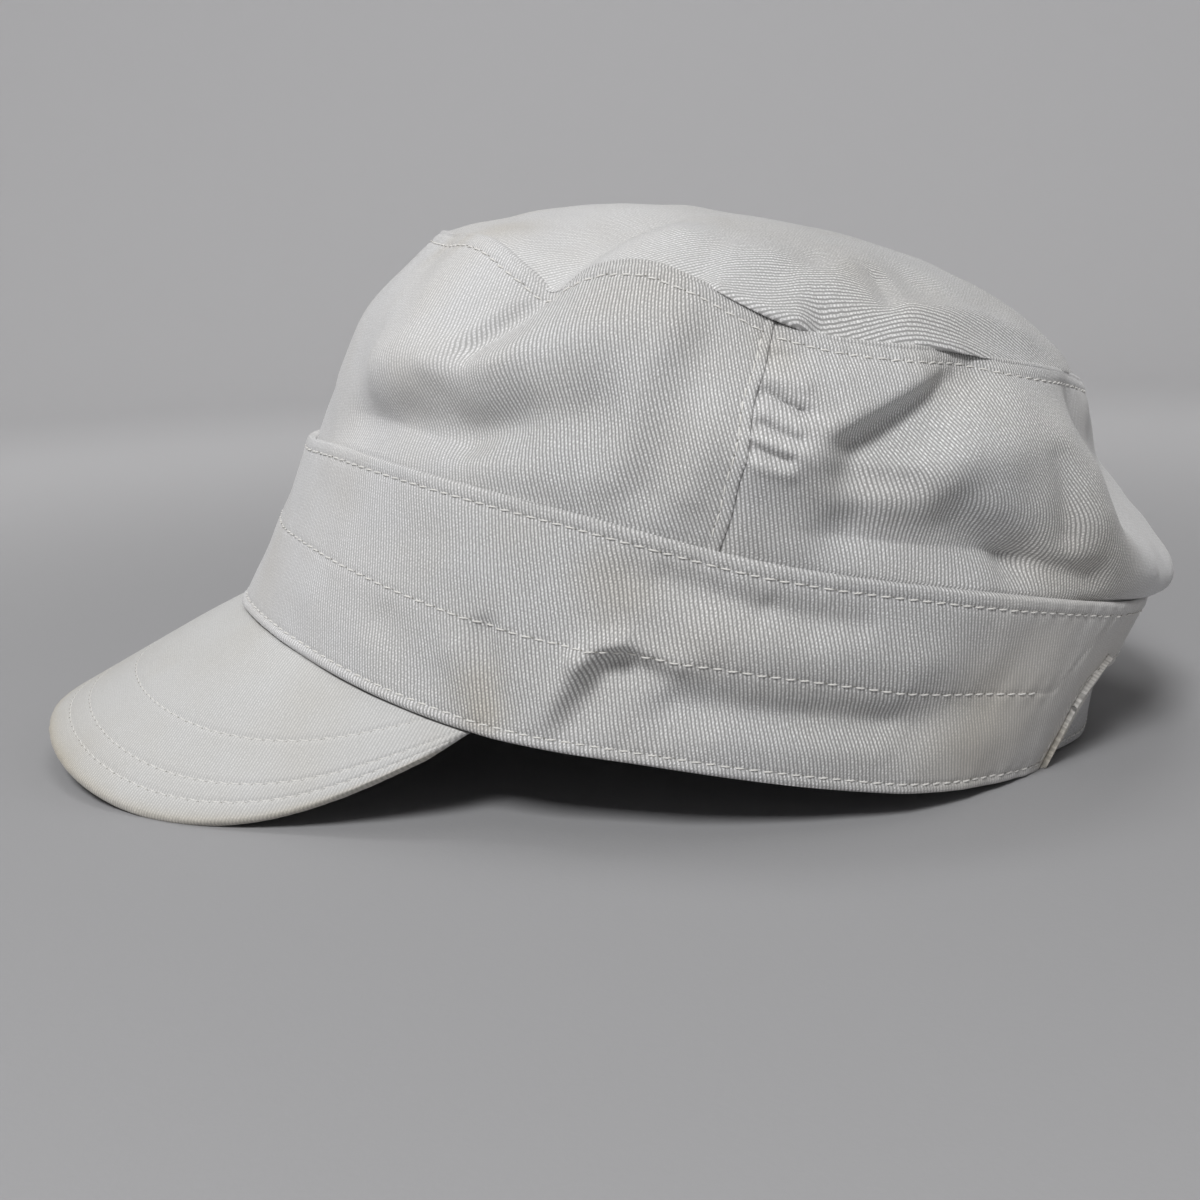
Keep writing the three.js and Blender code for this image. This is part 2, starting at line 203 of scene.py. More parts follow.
def raised_by(folds: list[Fold], x: Array, y: Array) -> Array:
    """Adds up how far folds that run along lines raise each place of a cloth.

    Args:
        folds: The folds, in mm along the cloth.
        x: Places across the cloth.
        y: Places up the cloth.

    Returns:
        The rise in mm at each place.
    """
    rise = np.zeros(np.broadcast(x, y).shape)
    for fold in folds:
        dx, dy = fold.to_x - fold.from_x, fold.to_y - fold.from_y
        along = ((x - fold.from_x) * dx + (y - fold.from_y) * dy) / (dx * dx + dy * dy)
        held = np.clip(along, 0.0, 1.0)
        away = np.hypot(x - fold.from_x - held * dx, y - fold.from_y - held * dy)
        rise += fold.rise * ridge(away, fold.width)
    return rise


def unit(vectors: Array) -> Array:
    """Vectors at length 1."""
    return vectors / np.maximum(np.linalg.norm(vectors, axis=-1, keepdims=True), 1e-9)


def facing(points: Array, closed: bool) -> Array:
    """Finds the directions that a grid of points faces.

    Args:
        points: Rows by columns by 3.
        closed: Whether the columns run all the way round, the last one on the first.

    Returns:
        Unit vectors, across the columns times up the rows.
    """
    if closed:
        padded = np.concatenate([points[:, -2:-1], points, points[:, 1:2]], axis=1)
        across = np.gradient(padded, axis=1)[:, 1:-1]
    else:
        across = np.gradient(points, axis=1)
    return unit(np.cross(across, np.gradient(points, axis=0)))


def linear_colour(code: str) -> tuple[float, float, float, float]:
    """Turns an sRGB hex colour to linear red, green, blue and alpha.

    Args:
        code: The colour, such as #ffffff.

    Returns:
        The four values from 0 to 1.
    """
    parts = [int(code[i : i + 2], 16) / 255 for i in (1, 3, 5)]
    linear = [c / 12.92 if c <= 0.04045 else ((c + 0.055) / 1.055) ** 2.4 for c in parts]
    return (*linear, 1.0)


# The cap's shape


@dataclass(frozen=True)
class CapForm:
    """The cap's sizes in mm, in its own frame.

    x runs to the wearer's left, y to the back and z up from the head opening. Angles run
    from 0 in front to 180 at the back and are positive on the wearer's left.
    """

    band_wall: float = 1.5
    crown_wall: float = 0.8
    peak_wall: float = 3.0
    strap_wall: float = 2.0
    gap: float = 0.35
    crown_inset: float = 1.85
    egg: float = 0.05
    rim: Oval = Oval(2.5, 102.5, 88.0)
    band_top: Oval = Oval(12.5, 103.0, 84.0)
    top_seam: Oval = Oval(9.5, 78.0, 68.0)
    stations: tuple[Station, ...] = (
        Station(0, -3.5, 38.5, 91.5, 5.5, 0.58, 2.3),
        Station(30, -2.0, 42.5, 92.0, 6.0, 0.55, 2.5),
        Station(67, -3.5, 44.0, 94.5, 6.0, 0.50, 2.8),
        Station(90, -0.5, 43.0, 91.5, 6.0, 0.48, 3.0),
        Station(120, 1.0, 44.5, 89.0, 7.5, 0.55, 3.2),
        Station(150, 3.85, 43.5, 88.5, 6.5, 0.27, 3.0),
        Station(180, 7.5, 42.5, 86.0, 12.0, 0.22, 3.0),
    )
    top_middle_y: float = 11.0
    top_middle_z: float = 109.5
    seam_dips: tuple[Dip, ...] = (
        Dip(50, 7.0, 10),
        Dip(51.5, 2.4, 3.2),
        Dip(91.5, 5, 17),
        Dip(-47, 5, 12),
        Dip(-98, 3, 16),
    )
    crown_folds: Folds = (
        Fold(52, 1, 46.5, 0.6, 7, -3.5),
        Fold(30, 0.05, 66, 0.38, 8, -4),
        Fold(33, 0.38, 72, 0.86, 8, 2.2),
        Fold(34, 0.72, 37, 0.42, 11, 1.5),
        Fold(119, 0.97, 99, 0.53, 6.5, -6),
        Fold(93, 0.74, 108, 0.92, 8, 3),
        Fold(88, 0.45, 126, 0.7, 8, 3),
        Fold(100, 0.17, 122, 0.08, 9, -4),
        Fold(133, 0.75, 135, 0.45, 9, 3.5),
        Fold(140, 0.3, 151, 0.2, 8, 1.5),
        Fold(146, 0.85, 146, 0.6, 9, -3),
        Fold(-49, 1, -46, 0.5, 11, -4),
        Fold(-58, 0.3, -80, 0.4, 10, -2),
        Fold(-106, 0.9, -92, 0.5, 9, -4),
        Fold(-116, 0.35, -96, 0.25, 10, 2.5),
        Fold(-142, 0.8, -144, 0.35, 8, -4),
        Fold(150, 0.6, 210, 0.6, 13, -7),
    )
    band_folds: Folds = (
        Fold(78, 0.1, 80.5, 0.38, 5, -2),
        Fold(75, 0.1, 76.5, 0.46, 5, 1.3),
        Fold(88, 0.27, 116, 0.29, 6, -2.4),
        Fold(88, 0.62, 112, 0.66, 6, 1.6),
        Fold(78, 0.85, 98, 0.77, 5, -1.8),
        Fold(-72, 0.2, -88, 0.4, 7, -1.6),
        Fold(-92, 0.45, -122, 0.4, 7, -1.6),
        Fold(-96, 0.7, -116, 0.7, 8, 1.2),
    )
    top_folds: Folds = (
        Fold(58, 5, 60, 26, 9, 3),
        Fold(46, 35, 56, 29, 8, -3),
        Fold(45, -46, 32, -28, 12, -3),
        Fold(-46, -42, -34, -28, 12, -2.5),
        Fold(-52, 34, -40, 28, 11, -2.5),
    )
    side_seam_low: float = 85.0
    side_seam_high: float = 87.5
    crown_tuck: float = 6.0
    fold_start: float = 0.15
    fold_loss: float = 0.6
    crease_fade: float = 0.15

    @property
    def girth_per_degree(self) -> float:
        """Millimetres of cloth for each degree round the rim."""
        return math.pi * (self.rim.half_width + self.rim.half_length) / 360

    @property
    def band_height(self) -> float:
        """The band's height at the wearer's left."""
        return self.stations[3].band - self.stations[3].rim

    @property
    def crown_height(self) -> float:
        """The height of the crown's wall at the wearer's left."""
        return self.stations[3].seam - self.stations[3].band

    def around(self, key: str, angle: Array) -> Array:
        """A station's value at any angle, on a smooth curve that both sides share.

        Args:
            key: The station's value, by name.
            angle: Angles round the cap.

        Returns:
            The value at each angle.
        """
        turned = from_front(np.asarray(angle, float))
        rows = self.stations
        first, last = rows[0].angle - rows[1].angle, 2 * rows[-1].angle - rows[-2].angle
        places = np.array([first, *[r.angle for r in rows], last])
        values = [getattr(r, key) for r in rows]
        values = np.array([values[1], *values, values[-2]])
        slopes = (values[2:] - values[:-2]) / (places[2:] - places[:-2])
        row = np.clip(np.searchsorted(places[1:-1], turned, side="right") - 1, 0, len(rows) - 2)
        step = places[row + 2] - places[row + 1]
        s = (turned - places[row + 1]) / step
        s2, s3 = s * s, s * s * s
        start = (2 * s3 - 3 * s2 + 1) * values[row + 1] + (s3 - 2 * s2 + s) * slopes[row] * step
        return start + (3 * s2 - 2 * s3) * values[row + 2] + (s3 - s2) * slopes[row + 1] * step

    def outward(self, angle: Array) -> Array:
        """The level direction away from the cap's middle at an angle."""
        a = np.radians(angle)
        return np.stack([np.sin(a), -np.cos(a), np.zeros_like(a)], axis=-1)

    def on_oval(self, oval: Oval, angle: Array, z: Array) -> Array:
        """A point of an oval at an angle and a height.

        Args:
            oval: The oval.
            angle: Angles round the cap.
            z: Heights in mm.

        Returns:
            Points in mm.
        """
        a = np.radians(angle)
        x = oval.half_width * np.sin(a) * (1 - self.egg * np.cos(a))
        return np.stack([x, oval.middle - oval.half_length * np.cos(a), z + 0 * a], axis=-1)

    def fold_rise(self, folds: Folds, angle: Array, up: Array, height: float) -> Array:
        """How far folds given by angle and share of height raise a wall, in mm.

        Args:
            folds: The folds.
            angle: Angles round the cap.
            up: Shares of the height.
            height: The wall's height in mm.

        Returns:
            The rise in mm.
        """
        per = self.girth_per_degree
        flat = [
            Fold(f.from_x * per, f.from_y * height, f.to_x * per, f.to_y * height, f.width, f.rise)
            for f in folds
        ]
        turns = [raised_by(flat, (angle + turn) * per, up * height) for turn in (-360, 0, 360)]
        return sum(turns)

    def rim_point(self, angle: Array) -> Array:
        """The band's lower edge."""
        return self.on_oval(self.rim, angle, self.around("rim", angle))

    def band_edge(self, angle: Array) -> Array:
        """The band's upper edge."""
        return self.on_oval(self.band_top, angle, self.around("band", angle))

    def band_surface(self, angle: Array, up: Array, extra: Folds = ()) -> Array:
        """The band's outer face, by angle and share of its height.

        Args:
            angle: Angles round the cap.
            up: Shares of the height.
            extra: Creases that only the cloth has.

        Returns:
            Points in mm.
        """
        fade = np.sin(math.pi * np.clip(up, 0, 1))
        rise = self.fold_rise(self.band_folds + extra, angle, up, self.band_height) * fade
        low, high = self.rim_point(angle), self.band_edge(angle)
        return low + (high - low) * up[..., None] + self.outward(angle) * rise[..., None]

    def seam_point(self, angle: Array) -> Array:
        """The upper edge of the crown's walls.

        Args:
            angle: Angles round the cap.

        Returns:
            Points in mm.
        """
        z = self.around("seam", angle)
        for dip in self.seam_dips:
            for turn in (-360, 0, 360):
                z = z - dip.depth * ridge(angle + turn - dip.angle, dip.width)
        return self.on_oval(self.top_seam, angle, z)

    def crown_surface(self, angle: Array, up: Array, extra: Folds = ()) -> Array:
        """The crown's outer face, which starts inside the band and bellies out above it.

        Args:
            angle: Angles round the cap.
            up: Shares of the height.
            extra: Creases that only the cloth has.

        Returns:
            Points in mm.
        """
        out = self.outward(angle)
        inside = np.minimum(up, 0)
        tucked = self.band_surface(angle, 1 + inside * self.crown_height / self.band_height)
        above = np.clip(up, 0, 1)
        low = self.band_edge(angle)
        for points in (tucked, low):
            points[..., 2] += self.gap
            points -= out * self.crown_inset
        power = math.log(0.5) / np.log(self.around("swell_at", angle))
        belly = np.sin(math.pi * above**power) * self.around("swell", angle)
        kept = np.minimum(1, above / self.fold_start) * (1 - self.fold_loss * above**4)
        faded = smooth((1 - above) / self.crease_fade)
        rise = self.fold_rise(self.crown_folds, angle, above, self.crown_height)
        rise = (rise + self.fold_rise(extra, angle, above, self.crown_height) * faded) * kept
        wall = low + (self.seam_point(angle) - low) * above[..., None]
        wall = wall + out * (belly + rise)[..., None]
        return np.where((up > 0)[..., None], wall, tucked)

    def top_surface(self, angle: Array, out: Array, lift: float, extra: Folds = ()) -> Array:
        """The top's upper face, by angle and share of the way from the middle to its edge.

        Args:
            angle: Angles round the cap.
            out: Shares of the way out.
            lift: How far its edge lies above the seam, in mm.
            extra: Creases that only the cloth has.

        Returns:
            Points in mm.
        """
        seam = self.seam_point(angle)
        share = out ** self.around("dome", angle)
        x = seam[..., 0] * out
        y = self.top_middle_y + (seam[..., 1] - self.top_middle_y) * out
        rise = raised_by(list(self.top_folds + extra), x, y) * (1 - out**6)
        z = self.top_middle_z + (seam[..., 2] + lift - self.top_middle_z) * share + rise
        return np.stack([x, y, z], axis=-1)


@dataclass(frozen=True)
class Lie:
    """How the cap lies: leaning back on its peak and its back rim, on the floor at z = 0."""

    tilt: float = 13.2
    shift_y: float = 9.744
    shift_z: float = 15.968

    def lay(self, points: Array) -> Array:
        """Turns points in mm in the cap's frame to metres as it lies, flattened at the floor.

        Args:
            points: Points in mm in the cap's frame.

        Returns:
            Points in metres.
        """
        turned = self.turn(points) + np.array([0.0, self.shift_y, self.shift_z])
        turned[..., 2] = np.maximum(turned[..., 2], 0.0)
        return turned * MM

    def turn(self, vectors: Array) -> Array:
        """Turns directions as the cap is turned when it lies.

        Args:
            vectors: Directions or points in the cap's frame.

        Returns:
            The same, turned.
        """
        a = math.radians(-self.tilt)
        y = vectors[..., 1] * math.cos(a) - vectors[..., 2] * math.sin(a)
        z = vectors[..., 1] * math.sin(a) + vectors[..., 2] * math.cos(a)
        return np.stack([vectors[..., 0], y, z], axis=-1)


@dataclass(frozen=True)
class Unevenness:
    """Slight unevenness of worn cloth: many gentle waves in seeded random directions."""

    seed: int
    length: float
    height: float
    waves: int = 28

    def at(self, points: Array) -> Array:
        """The rise in mm at points in mm.

        Args:
            points: The points.

        Returns:
            The rise at each of them.
        """
        draw = np.random.default_rng(self.seed)
        turns = unit(draw.normal(size=(self.waves, 3))) * draw.uniform(0.6, 1.5, (self.waves, 1))
        phases = draw.uniform(0, 2 * math.pi, self.waves)
        total = np.zeros(points.shape[:-1])
        for turn, phase in zip(turns, phases):
            total += np.sin(points @ turn * (2 * math.pi / self.length) + phase)
        return total * self.height * math.sqrt(2 / self.waves)


# Cloth as a grid of places


@dataclass
class Cloth:
    """One cloth wall laid out as rows and columns.

    Attributes:
        middle: Points of the wall's middle, rows by columns by 3, in mm in the cap's frame.
        normal: The way out at each point.
        half: Half the wall's thickness at each point, 0 along its edges.
        relief: What the outer face stands out beyond the wall.
        u: Places along the cloth across its columns, in mm.
        v: Places up the cloth, in mm.
        closed: Whether the last column lies on the first.
        marks: How stained or darkened by painted shade, pressed flat or soiled each point is, from
            0 to 1, by name.
    """

    middle: Array
    normal: Array
    half: Array
    relief: Array
    u: Array
    v: Array
    closed: bool
    marks: Fields = field(default_factory=dict)

    def outer(self) -> Array:
        """The outer face."""
        full = self.half.max()
        shown = self.half + self.relief * smooth(self.half / full)
        return self.middle + self.normal * shown[..., None]

    def inner(self) -> Array:
        """The inner face, which gives way where the outer one is pressed in."""
        full = self.half.max()
        pressed = np.maximum(0, -self.relief - GIVE_SHARE * full) * smooth(self.half / full)
        return self.middle - self.normal * (self.half + pressed)[..., None]

    def contour(self, values: Array, level: float, up: bool = True) -> Line:
        """Follows the line where a field takes a value, one point for each column.

        Args:
            values: The field, rows by columns.
            level: The value to follow.
            up: Whether the field grows up the rows.

        Returns:
            Points on the outer face and the directions out of it.
        """
        field_up = values if up else -values
        target = level if up else -level
        face = self.outer()
        out = facing(face, self.closed)
        points, ways = [], []
        for column in range(values.shape[1]):
            line = field_up[:, column]
            over = np.nonzero((line[:-1] <= target) & (line[1:] > target))[0]
            if len(over) == 0:
                continue
            row = over[0]
            share = (target - line[row]) / (line[row + 1] - line[row])
            points.append(face[row, column] + (face[row + 1, column] - face[row, column]) * share)
            ways.append(out[row, column])
        return np.array(points), np.array(ways)


def lay_grid(name: str, points: Array) -> Piece:
    """Adds a flat grid and moves its points to their places, rows by columns by 3, in metres.

    Args:
        name: The piece's name.
        points: The points.

    Returns:
        The grid's object.
    """
    rows, columns = points.shape[:2]
    bpy.ops.object.select_all(action="DESELECT")
    bpy.ops.mesh.primitive_grid_add(x_subdivisions=columns - 1, y_subdivisions=rows - 1, size=1.0)
    piece = bpy.context.active_object
    piece.name = piece.data.name = name
    piece.data.vertices.foreach_set("co", points.astype(np.float32).ravel())
    return piece


def weld(gap: float, inwards: bool = False) -> None:
    """Welds the active piece's points within a gap in metres and turns its faces out or inwards.

    Args:
        gap: The gap.
        inwards: Whether the faces look inwards, as on the sweep.
    """
    bpy.ops.object.mode_set(mode="EDIT")
    bpy.ops.mesh.select_all(action="SELECT")
    bpy.ops.mesh.remove_doubles(threshold=gap)
    bpy.ops.mesh.normals_make_consistent(inside=inwards)
    bpy.ops.object.mode_set(mode="OBJECT")
    bpy.ops.object.shade_smooth()


def mould_grid(name: str, points: Array, u: Array, v: Array, marks: Fields, lie: Lie) -> Piece:
    """Moulds a flat grid of cloth to its points and welds the edges that meet.

    Args:
        name: The piece's name.
        points: Rows by columns by 3, in mm in the cap's frame.
        u: Places along the cloth, rows by columns, in mm.
        v: Places up the cloth, rows by columns, in mm.
        marks: Values of each point by name, rows by columns.
        lie: How the cap lies.

    Returns:
        The closed, smooth mesh.
    """
    piece = lay_grid(name, lie.lay(points))
    mesh = piece.data
    corners = np.zeros(len(mesh.loops), dtype=np.int32)
    mesh.loops.foreach_get("vertex_index", corners)
    while mesh.uv_layers:
        mesh.uv_layers.remove(mesh.uv_layers[0])
    layer = mesh.uv_layers.new(name=CLOTH_UV)
    flat = np.stack([u.ravel(), v.ravel()], axis=-1)[corners]
    layer.data.foreach_set("uv", flat.astype(np.float32).ravel())
    for key, values in marks.items():
        mark = mesh.attributes.new(key, "FLOAT", "POINT")
        mark.data.foreach_set("value", np.clip(values, 0, 1).astype(np.float32).ravel())
    weld(WELD_MM * MM)
    return piece


def sew_wall(name: str, cloth: Cloth, lie: Lie) -> Piece:
    """Makes a closed wall of a cloth: its outer face, and back down its inner face.

    Args:
        name: The piece's name.
        cloth: The cloth.
        lie: How the cap lies.

    Returns:
        The piece.
    """
    last = cloth.middle.shape[0] - 1
    back = sorted({*range(0, last, INNER_STEP), *range(0, 6), *range(last - 6, last)}, reverse=True)
    rows = np.array([*range(last + 1), *back])
    points = np.concatenate([cloth.outer(), cloth.inner()[back]])
    marks = {key: cloth.marks.get(key, 0 * cloth.half)[rows] for key in (STAIN_AND_SHADE, PRESSED)}
    piece = mould_grid(name, points, cloth.u[rows], cloth.v[rows], marks, lie)
    LOG.info("%s: %d faces", name, len(piece.data.polygons))
    return piece


def edge_profile(distance: Array, radius: float) -> Array:
    """Half the thickness of a wall whose edge is rounded, by the distance from the edge."""
    inside = np.clip(distance / radius, 0.0, 1.0)
    return radius * np.sqrt(np.clip(1.0 - (1.0 - inside) ** 2, 0.0, 1.0))


def padded(values: Array, extra: int) -> Array:
    """A grid with copies of its first row put before it."""
    return np.concatenate([np.repeat(values[:1], extra, 0), values])


def spread(start: float, end: float, step: float) -> Array:
    """Even places from start to end, about step apart, without the end."""
    return np.linspace(start, end, max(2, round((end - start) / step)), endpoint=False)


# Finishes


EASED = {"interpolation_type": "SMOOTHSTEP"}
COLOURS = {"data_type": "RGBA"}


def add_node(
    tree: Tree, kind: str, settings: dict[str, object] | None = None,
    values: dict[str, object] | None = None, links: dict[str, Socket] | None = None
) -> bpy.types.Node:
    """Adds a node with its settings, input values and links.

    Args:
        tree: The material's node tree.
        kind: The node's type.
        settings: Values of the node's own properties.
        values: Values of its inputs, by name or number.
        links: What feeds its inputs, by name or number.

    Returns:
        The node.
    """
    node = tree.nodes.new(kind)
    for key, value in (settings or {}).items():
        setattr(node, key, value)
    for key, value in (values or {}).items():
        node.inputs[key].default_value = value
    for key, socket in (links or {}).items():
        tree.links.new(socket, node.inputs[key])
    return node


def blank_material(name: str) -> tuple[bpy.types.Material, Tree]:
    """Makes a material without nodes.

    Args:
        name: Its name.

    Returns:
        The material and its node tree.
    """
    material = bpy.data.materials.new(name)
    material.use_nodes = True
    material.node_tree.nodes.clear()
    return material, material.node_tree


@dataclass(frozen=True)
class TwillFinish:
    """Bleached cotton twill, woven with steep ribs, washed and worn.

    The eye sees fine parallel ribs broken into short floats, grey lines between them that are
    painted shade in the grooves, a soft sheen where the cloth is pressed flat, and faint warm marks
    from wear and stains, with wide patches of painted shade on the back of the band and crown.
    """

    name: str
    crest: str = "#fafafb"
    # The groove colour is painted shade, darkening the hollows between the ribs
    groove: str = "#9a9a9a"
    mark: str = "#d6c6a2"
    rib_pitch: float = 0.7
    rib_depth: float = 0.12
    gap_share: float = 0.72
    float_length: float = 0.62
    lean: float = -28.0
    float_lean: float = 62.0
    drift: float = 2.2
    drift_scale: float = 0.03
    ruffle: float = 0.24
    ruffle_scale: float = 0.8
    mean_shade: float = 0.62
    pressed_gloss: float = 0.22
    roughness: float = 0.72
    sheen: float = 0.25
    mottle: float = 0.12

    def build(self) -> bpy.types.Material:
        """Makes the material.

        Returns:
            The material, which reads the piece's cloth map, its stains and painted shade, and where
            it is pressed.
        """
        material, tree = blank_material(self.name)
        place = add_node(tree, "ShaderNodeUVMap", {"uv_map": CLOTH_UV})
        drifted = self.moved(tree, place.outputs[0], self.drift_scale, self.drift)
        ruffled = self.moved(tree, drifted, self.ruffle_scale, self.ruffle)
        ribs = self.bands(tree, ruffled, self.lean, self.rib_pitch, 0.5)
        across = self.lean + self.float_lean
        floats = self.bands(tree, ruffled, across, self.float_length, 1.6)
        specks = add_node(
            tree, "ShaderNodeTexNoise", values={"Scale": 2.3, "Detail": 3.0, "Roughness": 0.66},
            links={"Vector": place.outputs[0]}
        )
        gap = add_node(
            tree, "ShaderNodeMapRange", EASED,
            {"From Min": 0.1, "From Max": self.gap_share, "To Min": 0.0, "To Max": 1.0},
            {"Value": ribs}
        )
        ply = add_node(
            tree, "ShaderNodeMapRange", values={"From Max": 0.6, "To Min": 0.5, "To Max": 1.0},
            links={"Value": floats}
        )
        speck = add_node(
            tree, "ShaderNodeMapRange", EASED,
            {"From Min": 0.36, "From Max": 0.6, "To Min": 0.4, "To Max": 1.0},
            {"Value": specks.outputs["Fac"]}
        )
        height = gap.outputs[0]
        for share in (ply, speck):
            pair = {0: height, 1: share.outputs[0]}
            product = add_node(tree, "ShaderNodeMath", {"operation": "MULTIPLY"}, links=pair)
            height = product.outputs[0]
        pressed = add_node(tree, "ShaderNodeAttribute", {"attribute_name": PRESSED})
        flatten = add_node(
            tree, "ShaderNodeMapRange", values={"To Min": 1.0, "To Max": 0.25},
            links={"Value": pressed.outputs["Fac"]}
        )
        # Pressed cloth shows less of its ribs: their painted groove shade is drawn towards the mean
        mean = self.mean_shade
        low = add_node(tree, "ShaderNodeMath", {"operation": "SUBTRACT"}, {1: mean}, {0: height})
        shade = add_node(
            tree, "ShaderNodeMath", {"operation": "MULTIPLY_ADD", "use_clamp": True}, {2: mean},
            {0: low.outputs[0], 1: flatten.outputs[0]}
        )
        # Crest and groove colours mixed by the ribs' height paint shade into the grooves
        cloth = add_node(
            tree, "ShaderNodeMix", COLOURS,
            {6: linear_colour(self.groove), 7: linear_colour(self.crest)}, {0: shade.outputs[0]}
        )
        patch = add_node(
            tree, "ShaderNodeTexNoise", values={"Scale": 0.04, "Detail": 4.0},
            links={"Vector": place.outputs[0]}
        )
        patchy = add_node(
            tree, "ShaderNodeMapRange",
            values={"From Min": 0.4, "From Max": 0.75, "To Min": 0.0, "To Max": self.mottle},
            links={"Value": patch.outputs["Fac"]}
        )
        # Stains, and at the back of the band and crown painted shade, darken the cloth towards the
        # warm mark colour
        stain_and_shade = add_node(tree, "ShaderNodeAttribute", {"attribute_name": STAIN_AND_SHADE})
        marked = add_node(
            tree, "ShaderNodeMath", {"operation": "ADD", "use_clamp": True},
            links={0: stain_and_shade.outputs["Fac"], 1: patchy.outputs[0]}
        )
        worn_and_shaded = add_node(
            tree, "ShaderNodeMix", {"data_type": "RGBA", "blend_type": "MULTIPLY"},
            {7: linear_colour(self.mark)}, {0: marked.outputs[0], 6: cloth.outputs[2]}
        )
        relief = add_node(
            tree, "ShaderNodeBump", values={"Distance": self.rib_depth * MM},
            links={"Height": height, "Strength": flatten.outputs[0]}
        )
        gloss = add_node(
            tree, "ShaderNodeMapRange",
            values={"To Min": self.roughness, "To Max": self.roughness - self.pressed_gloss},
            links={"Value": pressed.outputs["Fac"]}
        )
        shader = add_node(
            tree,
            "ShaderNodeBsdfPrincipled",
            values={"Sheen Weight": self.sheen, "Sheen Roughness": 0.5, "Specular IOR Level": 0.35},
            links={
                "Base Color": worn_and_shaded.outputs[2],
                "Normal": relief.outputs[0],
                "Roughness": gloss.outputs[0],
            },
        )
        add_node(tree, "ShaderNodeOutputMaterial", links={"Surface": shader.outputs[0]})
        return material

    def moved(self, tree: Tree, place: Socket, scale: float, reach: float) -> Socket:
        """Shifts places of the cloth by soft noise, so that the weave doesn't run dead straight.

        Args:
            tree: The material's node tree.
            place: The places in mm.
            scale: How many waves of noise there are in a mm.
            reach: How far the noise moves them in all, in mm.

        Returns:
            The moved places.
        """
        size = {"Scale": scale, "Detail": 1.0}
        noise = add_node(tree, "ShaderNodeTexNoise", values=size, links={"Vector": place})
        shift = noise.outputs["Color"]
        steps = (
            ("SUBTRACT", {1: (0.5, 0.5, 0.5)}, {}),
            ("SCALE", {"Scale": reach}, {}),
            ("ADD", {}, {1: place}),
        )
        for operation, values, links in steps:
            kind = {"operation": operation}
            node = add_node(tree, "ShaderNodeVectorMath", kind, values, {0: shift, **links})
            shift = node.outputs[0]
        return shift

    def bands(self, tree: Tree, place: Socket, lean: float, pitch: float, wander: float) -> Socket:
        """Draws even bands of a real pitch on the cloth.

        Args:
            tree: The material's node tree.
            place: The places in mm.
            lean: How far the bands lean from upright, in degrees.
            pitch: The distance between bands in mm.
            wander: How far they wander.

        Returns:
            The bands, from 0 to 1.
        """
        turned = add_node(
            tree, "ShaderNodeMapping", values={"Rotation": (0.0, 0.0, math.radians(lean))},
            links={"Vector": place}
        )
        # A band texture repeats every 2 pi / 20 units, so this scale gives the pitch in mm
        scale = math.pi / (10 * pitch)
        wave = add_node(
            tree, "ShaderNodeTexWave",
            {"wave_type": "BANDS", "bands_direction": "X", "wave_profile": "SIN"},
            {"Scale": scale, "Distortion": wander, "Detail": 2.0, "Detail Scale": 2.5},
            {"Vector": turned.outputs[0]}
        )
        return wave.outputs["Fac"]


@dataclass(frozen=True)
class ThreadFinish:
    """Spun cotton sewing thread, twisted and slightly glossy: each stitch shows its twist."""

    name: str = "white_spun_cotton_thread"
    light: str = "#fcfbf9"
    dark: str = "#d9d7d0"
    twist: float = 3.0
    twist_depth: float = 0.06

    def build(self) -> bpy.types.Material:
        """Makes the material, which reads each stitch's own map."""
        material, tree = blank_material(self.name)
        place = add_node(tree, "ShaderNodeUVMap", {"uv_map": CLOTH_UV})
        plies = add_node(
            tree, "ShaderNodeTexWave", {"wave_type": "BANDS", "bands_direction": "DIAGONAL"},
            {"Scale": self.twist, "Distortion": 0.5}, {"Vector": place.outputs[0]}
        )
        colour = add_node(
            tree, "ShaderNodeMix", COLOURS,
            {6: linear_colour(self.dark), 7: linear_colour(self.light)}, {0: plies.outputs["Fac"]}
        )
        relief = add_node(
            tree, "ShaderNodeBump", values={"Strength": 0.8, "Distance": self.twist_depth * MM},
            links={"Height": plies.outputs["Fac"]}
        )
        shader = add_node(
            tree, "ShaderNodeBsdfPrincipled",
            values={"Roughness": 0.6, "Sheen Weight": 0.2, "Specular IOR Level": 0.4},
            links={"Base Color": colour.outputs[2], "Normal": relief.outputs[0]}
        )
        add_node(tree, "ShaderNodeOutputMaterial", links={"Surface": shader.outputs[0]})
        return material


